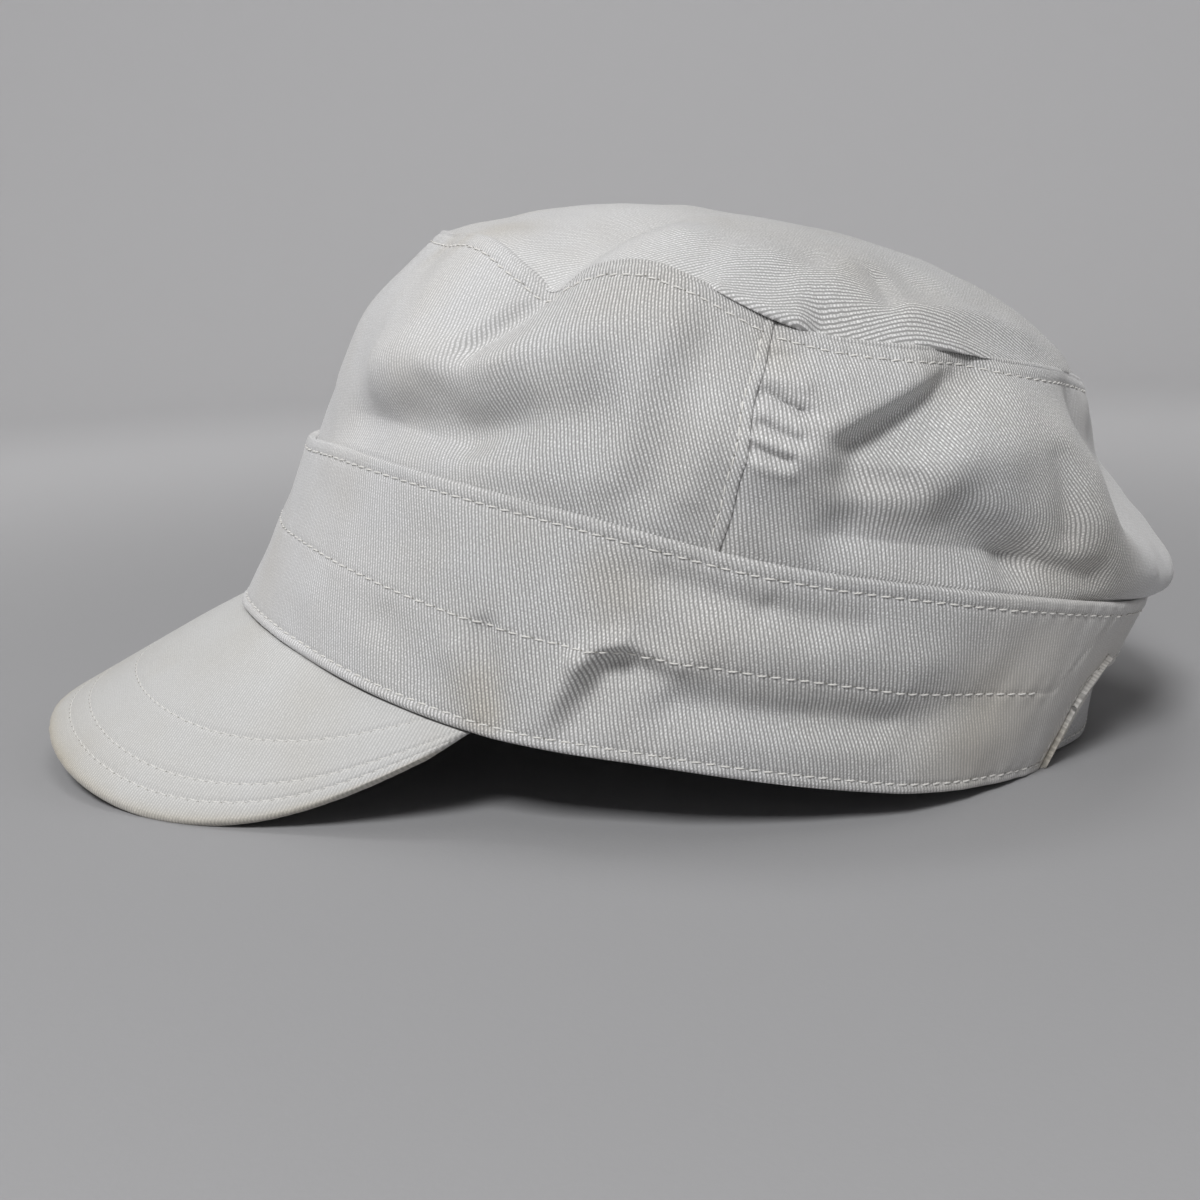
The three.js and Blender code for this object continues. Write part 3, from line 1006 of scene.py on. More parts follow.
@dataclass(frozen=True)
class PaperFinish:
    """A pale grey paper sweep, matt, darker round the middle and lighter towards the wall: a
    painted gradient of shade and light.
    """

    name: str = "pale_grey_paper_sweep"
    near: str = "#a0a0a2"
    far: str = "#cfcfd1"
    grain_depth: float = 0.2

    def build(self) -> bpy.types.Material:
        """Makes the material, with a faint grain so that it isn't a flat colour."""
        material, tree = blank_material(self.name)
        place = add_node(tree, "ShaderNodeTexCoord")
        spot = place.outputs["Object"]
        grain = add_node(
            tree, "ShaderNodeTexNoise", values={"Scale": 900.0, "Detail": 2.0},
            links={"Vector": spot}
        )
        relief = add_node(
            tree, "ShaderNodeBump", values={"Strength": 0.15, "Distance": self.grain_depth * MM},
            links={"Height": grain.outputs["Fac"]}
        )
        # Painted shade and light: the paper's colour runs from darker round the middle to lighter
        # at the wall
        away = add_node(tree, "ShaderNodeVectorMath", {"operation": "LENGTH"}, links={0: spot})
        share = add_node(
            tree, "ShaderNodeMapRange", EASED, {"From Min": 0.12, "From Max": 0.75},
            {"Value": away.outputs["Value"]}
        )
        colour = add_node(
            tree, "ShaderNodeMix", COLOURS,
            {6: linear_colour(self.near), 7: linear_colour(self.far)}, {0: share.outputs[0]}
        )
        shader = add_node(
            tree, "ShaderNodeBsdfPrincipled", values={"Roughness": 0.95, "Specular IOR Level": 0.1},
            links={"Base Color": colour.outputs[2], "Normal": relief.outputs[0]}
        )
        add_node(tree, "ShaderNodeOutputMaterial", links={"Surface": shader.outputs[0]})
        return material


@dataclass(frozen=True)
class HoleFinish:
    """Painted shade for needle holes: a matt, dark grey colour standing in for the shadow at the
    bottom of a hole, which little light reaches.
    """

    name: str = "shaded_needle_holes"
    # Dark colours that paint the shade inside a needle hole
    dark: str = "#8b8982"
    pale: str = "#a7a59d"

    def build(self) -> bpy.types.Material:
        """Makes the material."""
        material, tree = blank_material(self.name)
        place = add_node(tree, "ShaderNodeTexCoord")
        fuzz = add_node(
            tree, "ShaderNodeTexNoise", values={"Scale": 1500.0},
            links={"Vector": place.outputs["Object"]}
        )
        colour = add_node(
            tree, "ShaderNodeMix", COLOURS,
            {6: linear_colour(self.dark), 7: linear_colour(self.pale)}, {0: fuzz.outputs["Fac"]}
        )
        shader = add_node(
            tree, "ShaderNodeBsdfPrincipled", values={"Roughness": 1.0, "Specular IOR Level": 0.05},
            links={"Base Color": colour.outputs[2]}
        )
        add_node(tree, "ShaderNodeOutputMaterial", links={"Surface": shader.outputs[0]})
        return material


def dress(piece: Piece, finish: Finish, slot: str, *nodes: str) -> Piece:
    """Gives a piece its finish and its body, and hides the nodes that it stands for.

    Args:
        piece: The piece.
        finish: Its material, or its materials in the order of its faces' numbers.
        slot: The slot of the record that it belongs to; not used.
        nodes: The solids that it stands for.

    Returns:
        The piece.
    """
    kinds = np.zeros(len(piece.data.polygons), dtype=np.int32)
    piece.data.polygons.foreach_get("material_index", kinds)
    piece.data.materials.clear()
    for material in finish if isinstance(finish, tuple) else (finish,):
        piece.data.materials.append(material)
    piece.data.polygons.foreach_set("material_index", kinds)
    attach(piece, BODY)
    if nodes:
        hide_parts(*nodes)
    return piece


# Stitching


@dataclass(frozen=True)
class Stitching:
    """A lockstitch in sewing thread, in mm: short floats of thread, each slightly aslant."""

    pitch: float = 2.9
    float_length: float = 2.3
    width: float = 0.38
    height: float = 0.4
    lift: float = 0.17
    hole: float = 0.17
    hole_depth: float = 0.3
    hole_rise: float = 0.05
    look_ahead: float = 0.3
    bluntness: float = 0.8
    end_drop: float = 0.9
    slant: float = 7.0
    slant_spread: float = 2.0
    shortest: float = 0.93
    longest: float = 1.04
    seed: int = 11

    def needle_hole(self) -> tuple[Array, Faces]:
        """Models the hole after a stitch: a shallow cone point down, just above the cloth, whose
        dark finish is painted shade.
        """
        bpy.ops.object.select_all(action="DESELECT")
        deep = self.hole_depth
        bpy.ops.mesh.primitive_cone_add(vertices=8, radius1=self.hole, radius2=0.0, depth=deep)
        cone = bpy.context.active_object
        points = np.array([v.co for v in cone.data.vertices]) * np.array([1.25, 0.9, -1.0])
        points += np.array([self.pitch / 2, 0.0, self.hole_rise - deep / 2 - self.lift])
        faces = [list(p.vertices)[::-1] for p in cone.data.polygons]
        bpy.data.objects.remove(cone)
        return points, faces

    def one(self) -> tuple[Array, Faces, Array]:
        """Models one stitch: a ball drawn out along x and bent down at its ends.

        Returns:
            Its points in mm, its faces as corner lists, and each corner's map place.
        """
        bpy.ops.object.select_all(action="DESELECT")
        bpy.ops.mesh.primitive_uv_sphere_add(segments=8, ring_count=6, radius=0.5)
        ball = bpy.context.active_object
        points = np.array([v.co for v in ball.data.vertices])[:, [2, 0, 1]]
        blunter = np.abs(points[:, 0]) ** self.bluntness * 0.5 ** (1 - self.bluntness)
        points[:, 0] = np.sign(points[:, 0]) * blunter
        points = points * np.array([self.float_length, self.width, self.height])
        from_middle = 2 * points[:, 0] / self.float_length
        points[:, 2] -= self.end_drop * self.height * from_middle**4
        faces = [list(p.vertices) for p in ball.data.polygons]
        map_places = np.array([d.uv for d in ball.data.uv_layers.active.data])
        bpy.data.objects.remove(ball)
        return points, faces, map_places

    def row(self, name: str, lines: list[Line], lie: Lie, closed: bool) -> Piece:
        """Lays stitches along lines and joins them in one mesh.

        Args:
            name: The piece's name.
            lines: Points on the cloth and the directions out of it, for each line.
            lie: How the cap lies.
            closed: Whether the lines run all the way round.

        Returns:
            The joined stitches.
        """
        model, faces, map_places = self.one()
        hole, hole_faces = self.needle_hole()
        kinds = [0] * len(faces) + [1] * len(hole_faces)
        faces = faces + [[corner + len(model) for corner in face] for face in hole_faces]
        model = np.concatenate([model, hole])
        flat = np.zeros((sum(len(face) for face in hole_faces), 2))
        map_places = np.concatenate([map_places, flat])
        draw = np.random.default_rng(self.seed)
        points, count = [], 0
        for line, ways in lines:
            for spot, along, out in self.places(line, ways, closed):
                turn = math.radians(self.slant + draw.normal(0, self.slant_spread))
                side = np.cross(out, along)
                ahead = along * math.cos(turn) + side * math.sin(turn)
                across = np.cross(out, ahead)
                stretch = draw.uniform(self.shortest, self.longest)
                axes = np.stack([ahead * stretch, across, out])
                points.append(spot + out * self.lift + model @ axes)
                count += 1
        mesh = bpy.data.meshes.new(name)
        starts = [stitch * len(model) for stitch in range(count)]
        all_faces = [[corner + start for corner in face] for start in starts for face in faces]
        mesh.from_pydata(lie.lay(np.concatenate(points)).tolist(), [], all_faces)
        layer = mesh.uv_layers.new(name=CLOTH_UV)
        layer.data.foreach_set("uv", np.tile(map_places, (count, 1)).astype(np.float32).ravel())
        mesh.polygons.foreach_set("material_index", np.tile(kinds, count).astype(np.int32))
        mesh.shade_smooth()
        piece = bpy.data.objects.new(name, mesh)
        bpy.context.scene.collection.objects.link(piece)
        LOG.info("%s: %d stitches", name, count)
        return piece

    def places(self, line: Array, ways: Array, closed: bool) -> list[tuple[Array, Array, Array]]:
        """Finds where each stitch goes along a line.

        Args:
            line: Points on the cloth.
            ways: The directions out of it.
            closed: Whether the line runs all the way round.

        Returns:
            Each stitch's middle, the way along and the way out.
        """
        lengths = np.concatenate([[0], np.cumsum(np.linalg.norm(np.diff(line, axis=0), axis=1))])
        count = max(1, int(lengths[-1] / self.pitch))
        pitch = lengths[-1] / count if closed else self.pitch
        middles = (np.arange(count) + 0.5) * pitch
        near = self.look_ahead * self.pitch

        def at(distance: Array, values: Array) -> Array:
            """The line's values at distances along it."""
            return np.stack([np.interp(distance, lengths, value) for value in values.T], axis=-1)

        spots = at(middles, line)
        along = unit(at(middles + near, line) - at(middles - near, line))
        out = unit(at(middles, ways))
        out = unit(out - along * np.sum(out * along, axis=-1, keepdims=True))
        return list(zip(spots, along, out))


# Sub-assemblies


def pressed_at(angle: Array, back_from: float) -> Array:
    """How flat the cloth is pressed: most in front, and again behind.

    Args:
        angle: Angles round the cap.
        back_from: The angle from which it is pressed flat behind.

    Returns:
        Shares from 0 to 1.
    """
    turned = from_front(angle)
    in_front = 0.6 * smooth((70 - turned) / 40)
    behind = 0.75 * smooth((turned - back_from) / 20)
    return np.maximum(in_front, behind)


@dataclass
class Band:
    """The tall band of doubled twill, with the opening arched into its back.

    Sizes are in mm. hem is how far the lowest stitching is from the edge, middle_row and
    top_row the others' places, and puff how far the cloth stands out beside them.
    """

    form: CapForm
    lie: Lie
    opening_half: float = 52.0
    opening_height: float = 19.5
    opening_foot: float = 145.4
    opening_corner: float = 9.0
    hem: float = 2.3
    middle_row: float = 21.5
    top_row: float = 3.0
    puff: float = 0.2
    peak_puff: float = 0.6
    peak_half_angle: float = 67.0
    peak_ease: float = 6.0
    row_stop: float = 12.0
    pressed_from: float = 110.0
    groove: float = 0.2
    groove_width: float = 0.6
    ripple: float = 0.12
    ripple_length: float = 5.4
    column_step: float = 0.85
    edge_reach: int = 24
    uneven: Unevenness = Unevenness(seed=3, length=34.0, height=0.24)
    crumple: Unevenness = Unevenness(seed=4, length=13.0, height=0.09)
    creases: Folds = (
        Fold(86, 0.47, 79.5, 0.52, 2.6, 1.6),
        Fold(79, 0.52, 76, 0.42, 2.6, 1.6),
        Fold(75.8, 0.4, 74.8, 0.12, 2.4, 1.6),
        Fold(84.5, 0.42, 79.5, 0.43, 3.4, -1.6),
        Fold(78.6, 0.4, 77.6, 0.12, 3.4, -1.6),
        Fold(81, 0.84, 92, 0.79, 3, -2),
        Fold(93, 0.79, 103, 0.79, 3, -1.4),
        Fold(88, 0.28, 112, 0.32, 4, -1.7),
        Fold(112, 0.34, 124, 0.5, 5.5, -1),
        Fold(94, 0.17, 112, 0.2, 4, 1.4),
        Fold(63.5, 0.42, 70, 0.05, 2.8, -1.7),
        Fold(61, 0.3, 67, 0.05, 3, 1),
        Fold(50, 0.3, 58, 0.14, 4, -0.9),
        Fold(-72, 0.1, -78, 0.34, 2.6, 1),
        Fold(-79, 0.08, -82, 0.3, 2.6, -1),
        Fold(-98, 0.46, -120, 0.42, 3.4, -0.9),
    )
    stains: Spots = (
        Spot(65.5, 0.2, 5, 0.26),
        Spot(68, 0.08, 4, 0.3),
        Spot(77.5, 0.7, 6, 0.16),
        Spot(73.5, 0.78, 5, 0.14),
        Spot(88, 0.6, 9, 0.1),
        Spot(20, 0.3, 9, 0.1),
        Spot(-60, 0.3, 8, 0.15),
        # These two wide marks are painted shade, darkening the back of the band where it turns away
        # from the light
        Spot(128, 0.4, 20, 0.3),
        Spot(150, 0.5, 16, 0.25),
        # These three paint shade in a line along the opening's edge
        Spot(145.5, 0.06, 4, 0.3),
        Spot(147, 0.2, 5, 0.35),
        Spot(149.5, 0.3, 5, 0.35),
    )

    def opening_outline(self) -> Array:
        """The arch's outline on the wearer's left, from the rim to the middle, as x and z."""
        rim = float(self.form.around("rim", np.array(180.0)))
        half, top, corner = self.opening_half, rim + self.opening_height, self.opening_corner
        start = float(self.form.around("rim", np.array(self.opening_foot)))
        side = [(half, z) for z in spread(start, top - corner, self.column_step)]
        turns = spread(0, math.pi / 2, self.column_step / corner)
        centre_x, centre_z = half - corner, top - corner
        bend = [(centre_x + corner * math.cos(t), centre_z + corner * math.sin(t)) for t in turns]
        level = [(x, top) for x in [*spread(half - corner, 0, -self.column_step), 0.0]]
        return np.array(side + bend + level)

    def place_of(self, x: Array, z: Array) -> tuple[Array, Array]:
        """Finds the angle and share of height of places behind, given as x and z.

        Args:
            x: Places to the wearer's left in mm.
            z: Heights in mm.

        Returns:
            The angles and the shares.
        """
        # Angle and share of height depend on each other, so a dozen rounds bring them together
        angles = np.linspace(90, 180, 901)
        up = np.full(len(x), 0.3)
        for _ in range(12):
            share = up[:, None]
            low, high = self.form.rim_point(angles), self.form.band_edge(angles)
            across = low[:, 0] + (high[:, 0] - low[:, 0]) * share
            found = np.array([np.interp(-x[i], -across[i], angles) for i in range(len(x))])
            bottom, top = self.form.rim_point(found)[:, 2], self.form.band_edge(found)[:, 2]
            up = (z - bottom) / (top - bottom)
        return found, up

    def columns(self) -> tuple[Array, Array, Array]:
        """Lays out the columns round the cap.

        Returns:
            Each column's angle and share of height at its foot, and its angle at its top.
        """
        outline = self.opening_outline()
        arch_angle, arch_up = self.place_of(outline[:, 0], outline[:, 1])
        corner = arch_angle[0]
        plain = spread(0, corner, self.column_step / self.form.girth_per_degree)
        steps = np.linalg.norm(np.diff(outline, axis=0), axis=1)
        along = np.concatenate([[0], np.cumsum(steps)]) / steps.sum()
        foot = np.concatenate([plain, arch_angle])
        foot_up = np.concatenate([np.zeros(len(plain)), np.maximum(arch_up, 0)])
        head = np.concatenate([plain, corner + (180 - corner) * along])
        foot = np.concatenate([-foot[::-1], foot[1:]])
        head = np.concatenate([-head[::-1], head[1:]])
        return foot, np.concatenate([foot_up[::-1], foot_up[1:]]), head

    def rows(self, height: Array) -> Array:
        """Places up each column in mm, close together at the edges and the stitching.

        Args:
            height: Each column's height in mm.

        Returns:
            Places in mm, rows by columns.
        """
        edge = [0, 0.05, 0.2, 0.42, 0.7, 1.0, 1.4, 1.75, 2.05, 2.3, 2.55, 2.85, 3.2, 3.7, 4.4, 5.2]
        near = np.array(edge)
        row = self.middle_row / self.form.band_height
        fine = np.array([-2.2, -1.4, -0.9, -0.5, -0.2, 0.1, 0.4, 0.8, 1.3, 2.1])
        below, above = np.linspace(0.14, row - 0.07, 15), np.linspace(row + 0.07, 0.86, 16)
        share = np.concatenate([below, row + fine / self.form.band_height, above])
        share = (share - share[0]) / (share[-1] - share[0])
        low, high = near[-1] + 0.9, height - near[-1] - 0.9
        middle = low + (high - low) * share[:, None]
        return np.concatenate([near[:, None] + 0 * height, middle, height - near[::-1, None]])

    def cloth(self) -> tuple[Cloth, Array, Array]:
        """Lays out the band.

        Returns:
            The cloth, and each point's distance from the lower and the upper edge in mm.
        """
        form = self.form
        foot, foot_up, head = self.columns()
        rise = form.around("band", head) - form.around("rim", foot)
        height = rise * (1 - foot_up)
        places = self.rows(height)
        share = places / height
        angle = foot + (head - foot) * smooth(share)
        up = foot_up + (1 - foot_up) * share
        face = form.band_surface(angle, up, self.creases)
        out = facing(face, closed=True)
        u, v = angle * form.girth_per_degree, up * rise
        low = self.away_from_foot(u, v)
        high = rise * (1 - up)
        radius = form.band_wall / 2
        half = edge_profile(np.minimum(low, high), radius)
        shown = self.relief(face, angle, low, high, u)
        # Stains, with patches of painted shade at the back of the band
        stain_and_shade = soiled_and_shaded(self.stains, angle, up, form.girth_per_degree, form.band_height)
        marks = {STAIN_AND_SHADE: stain_and_shade, PRESSED: pressed_at(angle, self.pressed_from)}
        return Cloth(face - out * radius, out, half, shown, u, v, True, marks), low, high

    def away_from_foot(self, u: Array, v: Array) -> Array:
        """Distances from the lower edge, also beside the arch.

        Args:
            u: Places along the cloth in mm.
            v: Places up the cloth in mm.

        Returns:
            Distances in mm.
        """
        around = np.r_[0 : u.shape[1] - 1, 0]
        best = np.full(u.shape, np.inf)
        for step in range(-self.edge_reach, self.edge_reach + 1):
            du, dv = (grid - np.roll(grid[0, :-1], step)[around] for grid in (u, v))
            best = np.minimum(best, np.hypot(du, dv))
        return best

    def relief(self, face: Array, angle: Array, low: Array, high: Array, u: Array) -> Array:
        """What stitching and wear raise and pull in on the outer face, in mm.

        Args:
            face: Points of the outer face in mm.
            angle: Angles round the cap.
            low: Distances from the lower edge in mm.
            high: Distances from the upper edge in mm.
            u: Places along the cloth in mm.

        Returns:
            The rise at each point.
        """
        at_peak = smooth((self.peak_half_angle - np.abs(angle)) / self.peak_ease)
        hem_puff = self.puff + (self.peak_puff - self.puff) * at_peak
        rise = hem_puff * pillow(low, self.hem, 0.8) + self.puff * pillow(high, self.top_row, 0.8)
        beat = pucker(u, self.ripple_length, 17.0)
        rows = ((low - self.hem, 2.5), (high - self.top_row, 3.0), (low - self.middle_row, 4.0))
        for distance, wide in rows:
            rise -= self.groove * ridge(distance, self.groove_width)
            rise += self.ripple * beat * ridge(distance, wide)
        return rise + self.uneven.at(face) + self.crumple.at(face)

    def build(self, twill: Finish, thread: Finish, stitching: Stitching) -> None:
        """Makes and dresses the band and its three rows of stitching.

        Args:
            twill: The cloth's finish.
            thread: The finishes of the thread and of its needle holes.
            stitching: How the rows are stitched.
        """
        cloth, low, high = self.cloth()
        dress(sew_wall("band_cloth", cloth, self.lie), twill, "band_twill", "band")
        rows = (
            (Seam.BAND_HEM, low, self.hem, True),
            (Seam.BAND_MIDDLE, low, self.middle_row, True),
            (Seam.BAND_TOP, high, self.top_row, False),
        )
        for seam, values, level, up in rows:
            line, ways = cloth.contour(values, level, up)
            if seam is Seam.BAND_MIDDLE:
                line, ways = self.beside_opening(line, ways)
            closed = seam is not Seam.BAND_MIDDLE
            row = stitching.row(seam.value, [(line, ways)], self.lie, closed)
            dress(row, thread, "band_twill")

    def beside_opening(self, line: Array, ways: Array) -> Line:
        """Ends the middle row on both sides of the opening, where the arch cuts it.

        Args:
            line: Points of the row.
            ways: The directions out of it.

        Returns:
            The points and directions that stay.
        """
        behind = (np.abs(line[:, 0]) < self.opening_half + self.row_stop) & (line[:, 1] > 0)
        return line[~behind], ways[~behind]


@dataclass
class CrownSide:
    """One side panel of the crown, front or rear, from side seam to side seam.

    Sizes are in mm. strip is the width of the pressed seam under the top, lap how far the rear
    panel goes under the front one.
    """

    form: CapForm
    lie: Lie
    front: bool
    strip: float = 2.4
    strip_rise: float = 0.16
    seam_strip: float = 2.3
    seam_wander: float = 0.34
    lap: float = 3.0
    dive: float = 0.5
    groove: float = 0.2
    groove_width: float = 0.55
    ripple: float = 0.12
    ripple_length: float = 5.0
    roll: float = 0.85
    roll_rise: float = 0.7
    roll_step: float = 0.35
    pressed_from: float = 135.0
    column_step: float = 0.9
    seam_step: float = 0.5
    row_step: float = 0.68
    uneven: Unevenness = Unevenness(seed=7, length=30.0, height=0.28)
    crumple: Unevenness = Unevenness(seed=8, length=13.0, height=0.1)
    creases: Folds = (
        Fold(87.8, 0.86, 92, 0.91, 1.4, -1.6),
        Fold(87.5, 0.7, 92, 0.67, 1.5, -2.6),
        Fold(87.2, 0.565, 91.5, 0.545, 1.3, -1.8),
        Fold(87, 0.465, 90.5, 0.46, 1.3, -1.6),
        Fold(88, 0.94, 91.5, 0.98, 1.4, 0.8),
        Fold(88, 0.78, 92, 0.785, 1.7, 1.3),
        Fold(87.5, 0.625, 91.5, 0.605, 1.5, 1.2),
        Fold(87.2, 0.51, 90.5, 0.5, 1.3, 1),
        Fold(87, 0.4, 91, 0.4, 1.6, 0.7),
        Fold(51.8, 0.99, 47, 0.62, 2.8, -2.4),
        Fold(53.5, 0.93, 50, 0.66, 3, 1.4),
        Fold(49, 0.95, 44.5, 0.62, 3, 1.2),
        Fold(50, 0.2, 57, 0.27, 5, -2),
        Fold(44, 0.5, 52, 0.62, 5, 1.8),
        Fold(74, 0.95, 72, 0.15, 4.5, 1),
        Fold(78.5, 0.75, 75.5, 0.12, 5, -1.4),
        Fold(82, 0.55, 81, 0.2, 3.5, 0.7),
        Fold(114.5, 0.99, 96, 0.64, 3.4, 2.4),
        Fold(118.5, 0.95, 99, 0.55, 3.6, -2.8),
        Fold(89, 0.8, 97, 0.86, 2.4, 0.8),
        Fold(89.5, 0.62, 96, 0.7, 2.4, -0.8),
        Fold(92, 0.5, 101, 0.52, 3.5, 1.4),
        Fold(98, 0.42, 105, 0.44, 3.4, -1.8),
        Fold(112, 0.3, 121, 0.13, 5, -2.6),
        Fold(127.5, 0.62, 129, 0.3, 3.5, -1.8),
        Fold(122, 0.08, 134, 0.1, 4, -2.5),
        Fold(-50, 0.96, -48, 0.55, 4, -1.6),
        Fold(-88.5, 0.82, -92, 0.84, 1.6, -1),
        Fold(-88, 0.6, -91.5, 0.58, 1.6, -1),
        Fold(-107, 0.9, -96, 0.55, 4, -1.6),
        Fold(160, 0.7, 166, 0.3, 7, -1.2),
        Fold(-163, 0.75, -168, 0.35, 7, 1),
    )
    stains: Spots = (
        Spot(22, 0.97, 6, 0.18),
        Spot(29, 0.99, 4, 0.2),
        Spot(70, 0.9, 10, 0.12),
        Spot(88, 0.9, 5, 0.15),
        Spot(-25, 0.95, 8, 0.25),
        Spot(112, 0.9, 8, 0.12),
        # This wide mark is painted shade, darkening the back of the crown low down, where it faces
        # away from the light
        Spot(135, 0.2, 16, 0.2),
        Spot(40, 0.35, 10, 0.08),
    )

    def seam_angle(self, up: Array) -> Array:
        """The side seam's angle at a share of the crown's height.

        Args:
            up: Shares of the height.

        Returns:
            Angles in degrees.
        """
        low, high = self.form.side_seam_low, self.form.side_seam_high
        held = np.clip(up, 0, 1)
        pulled = self.seam_wander * (np.sin(5.3 * held + 0.9) + 0.55 * np.sin(17.0 * held))
        return low + (high - low) * held + pulled * np.sin(math.pi * held)

    def shares(self) -> Array:
        """Shares of the crown's height for the rows, closer together under the top seam."""
        height = self.form.crown_height
        foot = -self.form.crown_tuck / height
        edge = foot + np.array([0.0, 0.05, 0.4]) / height
        tuck = spread(foot * 0.8, 0.0, 0.03)
        near = np.array([4.6, 3.9, 3.3, 2.9, 2.6, 2.35, 2.1, 1.8, 1.4, 1.0, 0.6, 0.3, 0.12, 0.0])
        top = 1 - near / height
        wall = spread(0.0, top[0], self.row_step / height)
        return np.concatenate([edge, tuck, wall, top])

    def cloth(self) -> tuple[Cloth, Fields]:
        """Lays out the panel.

        Returns:
            The cloth, and fields of distances in mm from the top seam and the side seams.
        """
        form = self.form
        per = form.girth_per_degree
        shares = self.shares()
        up = shares[:, None]
        seam = self.seam_angle(up)
        if self.front:
            reach, middle = seam, 0.0
        else:
            reach, middle = 180.0 - seam + self.lap / per, 180.0
        span = 2 * float(reach.max()) * per
        first = [0.0, 0.03, 0.12, 0.3, 0.6, 1.0, 1.5, 1.9, 2.25, 2.6]
        near = np.concatenate([first, spread(3.0, 14.0, self.seam_step)])
        edge = 1 - near * 2 / span
        from_left, to_right = -edge[-1] + 0.6 * 2 / span, edge[-1] - 0.2 * 2 / span
        inside = spread(from_left, to_right, self.column_step * 2 / span)
        across = np.concatenate([-edge, inside, edge[::-1]])[None, :]
        angle = middle + reach * across
        height_here = np.broadcast_to(up, angle.shape)
        face = form.crown_surface(angle, height_here, self.creases)
        out = facing(face, closed=False)
        from_edge = reach * per * (1 - np.abs(across))
        from_top = (1 - height_here) * self.wall_height(angle)
        from_foot = (height_here - shares[0]) * form.crown_height
        from_seam = from_edge if self.front else from_edge - self.lap
        half = edge_profile(np.minimum(from_edge, from_foot), form.crown_wall / 2)
        rise = self.relief(face, angle, from_top, from_seam)
        middle_face = face - out * (form.crown_wall / 2)
        if not self.front:
            under = smooth(1 - from_seam / self.seam_strip)
            middle_face = middle_face - out * (self.dive * under)[..., None]
        middle_face, out, half, rise, angle, from_top = self.turned_in(
            middle_face, out, half, rise, angle, from_top
        )
        u = angle * per
        more = len(angle) - len(height_here)
        over = np.arange(1, more + 1)[:, None] * self.roll_step + 0 * height_here[-1:]
        v = np.concatenate([height_here * form.crown_height, form.crown_height + over])
        sway = self.sway(angle, v)
        from_seam = np.concatenate([from_seam, np.repeat(from_seam[-1:], more, 0)])
        fields = {"top": from_top, "seam": from_seam}
        # Stains, with a patch of painted shade low at the back of the crown
        stain_and_shade = soiled_and_shaded(self.stains, angle, v / form.crown_height, per, form.crown_height)
        marks = {STAIN_AND_SHADE: stain_and_shade, PRESSED: pressed_at(angle, self.pressed_from)}
        return Cloth(middle_face, out, half, rise, u + sway, v, False, marks), fields

    def wall_height(self, angle: Array) -> Array:
        """The height of the wall along its slope at each angle."""
        low, high = self.form.band_edge(angle), self.form.seam_point(angle)
        return np.linalg.norm(high - low, axis=-1)

    def turned_in(self, *arrays: Array) -> list[Array]:
        """Adds the rows that roll over inwards beside the top.

        Args:
            arrays: The middle, the way out, half the thickness, the relief, the angle and the
                distance from the top seam.

        Returns:
            The same with the rolled rows added.
        """
        middle, out, half, rise, angle, from_top = arrays
        outward, up = self.form.outward(angle[-1]), np.array([0.0, 0.0, 1.0])
        turns = np.radians([25, 50, 75, 100, 125, 150, 165])
        thick = np.array([1.0, 1.0, 1.0, 1.0, 1.0, 0.7, 0.0])
        rows, ways = [], []
        for turn in turns:
            inward = self.roll * (1 - math.cos(turn))
            rows.append(middle[-1] - outward * inward + up * (self.roll_rise * math.sin(turn)))
            ways.append(unit(outward * math.cos(turn) + up * math.sin(turn)))
        flat = np.zeros((len(turns), angle.shape[1]))
        return [
            np.concatenate([middle, np.stack(rows)]),
            np.concatenate([out, np.stack(ways)]),
            np.concatenate([half, half[-1] * thick[:, None]]),
            np.concatenate([rise, rise[-1] * (1 - turns[:, None] / turns[-1])]),
            np.concatenate([angle, flat + angle[-1]]),
            np.concatenate([from_top, flat - turns[:, None]]),
        ]

    def sway(self, angle: Array, v: Array) -> Array:
        """How far the ribs swing to and fro on their way up the back of the panel, in mm.

        Args:
            angle: Angles round the cap.
            v: Places up the cloth in mm.

        Returns:
            Shifts along the cloth.
        """
        if self.front:
            return np.zeros(angle.shape)
        turned = np.where(angle > 180, 360 - angle, angle)
        bent = 12.0 - 0.45 * v + 8.8 * np.tanh(0.109 * (v - 27))
        return bent * smooth((turned - 94) / 16)

    def relief(self, face: Array, angle: Array, from_top: Array, from_seam: Array) -> Array:
        """What seams and wear raise and pull in on the outer face, in mm.

        Args:
            face: Points of the outer face in mm.
            angle: Angles round the cap.
            from_top: Distances from the top seam in mm.
            from_seam: Distances from the side seams in mm.

        Returns:
            The rise at each point.
        """
        beat = pucker(angle * self.form.girth_per_degree, self.ripple_length, 13.0)
        rise = self.strip_rise * pillow(from_top, self.strip, 0.7)
        rise -= self.groove * ridge(from_top - self.strip, self.groove_width)
        rise += self.ripple * beat * ridge(from_top - self.strip, 3.0)
        if self.front:
            rise += self.strip_rise * pillow(from_seam, self.seam_strip, 0.7)
            rise -= self.groove * ridge(from_seam - self.seam_strip, self.groove_width)
        return rise + self.uneven.at(face) + self.crumple.at(face)

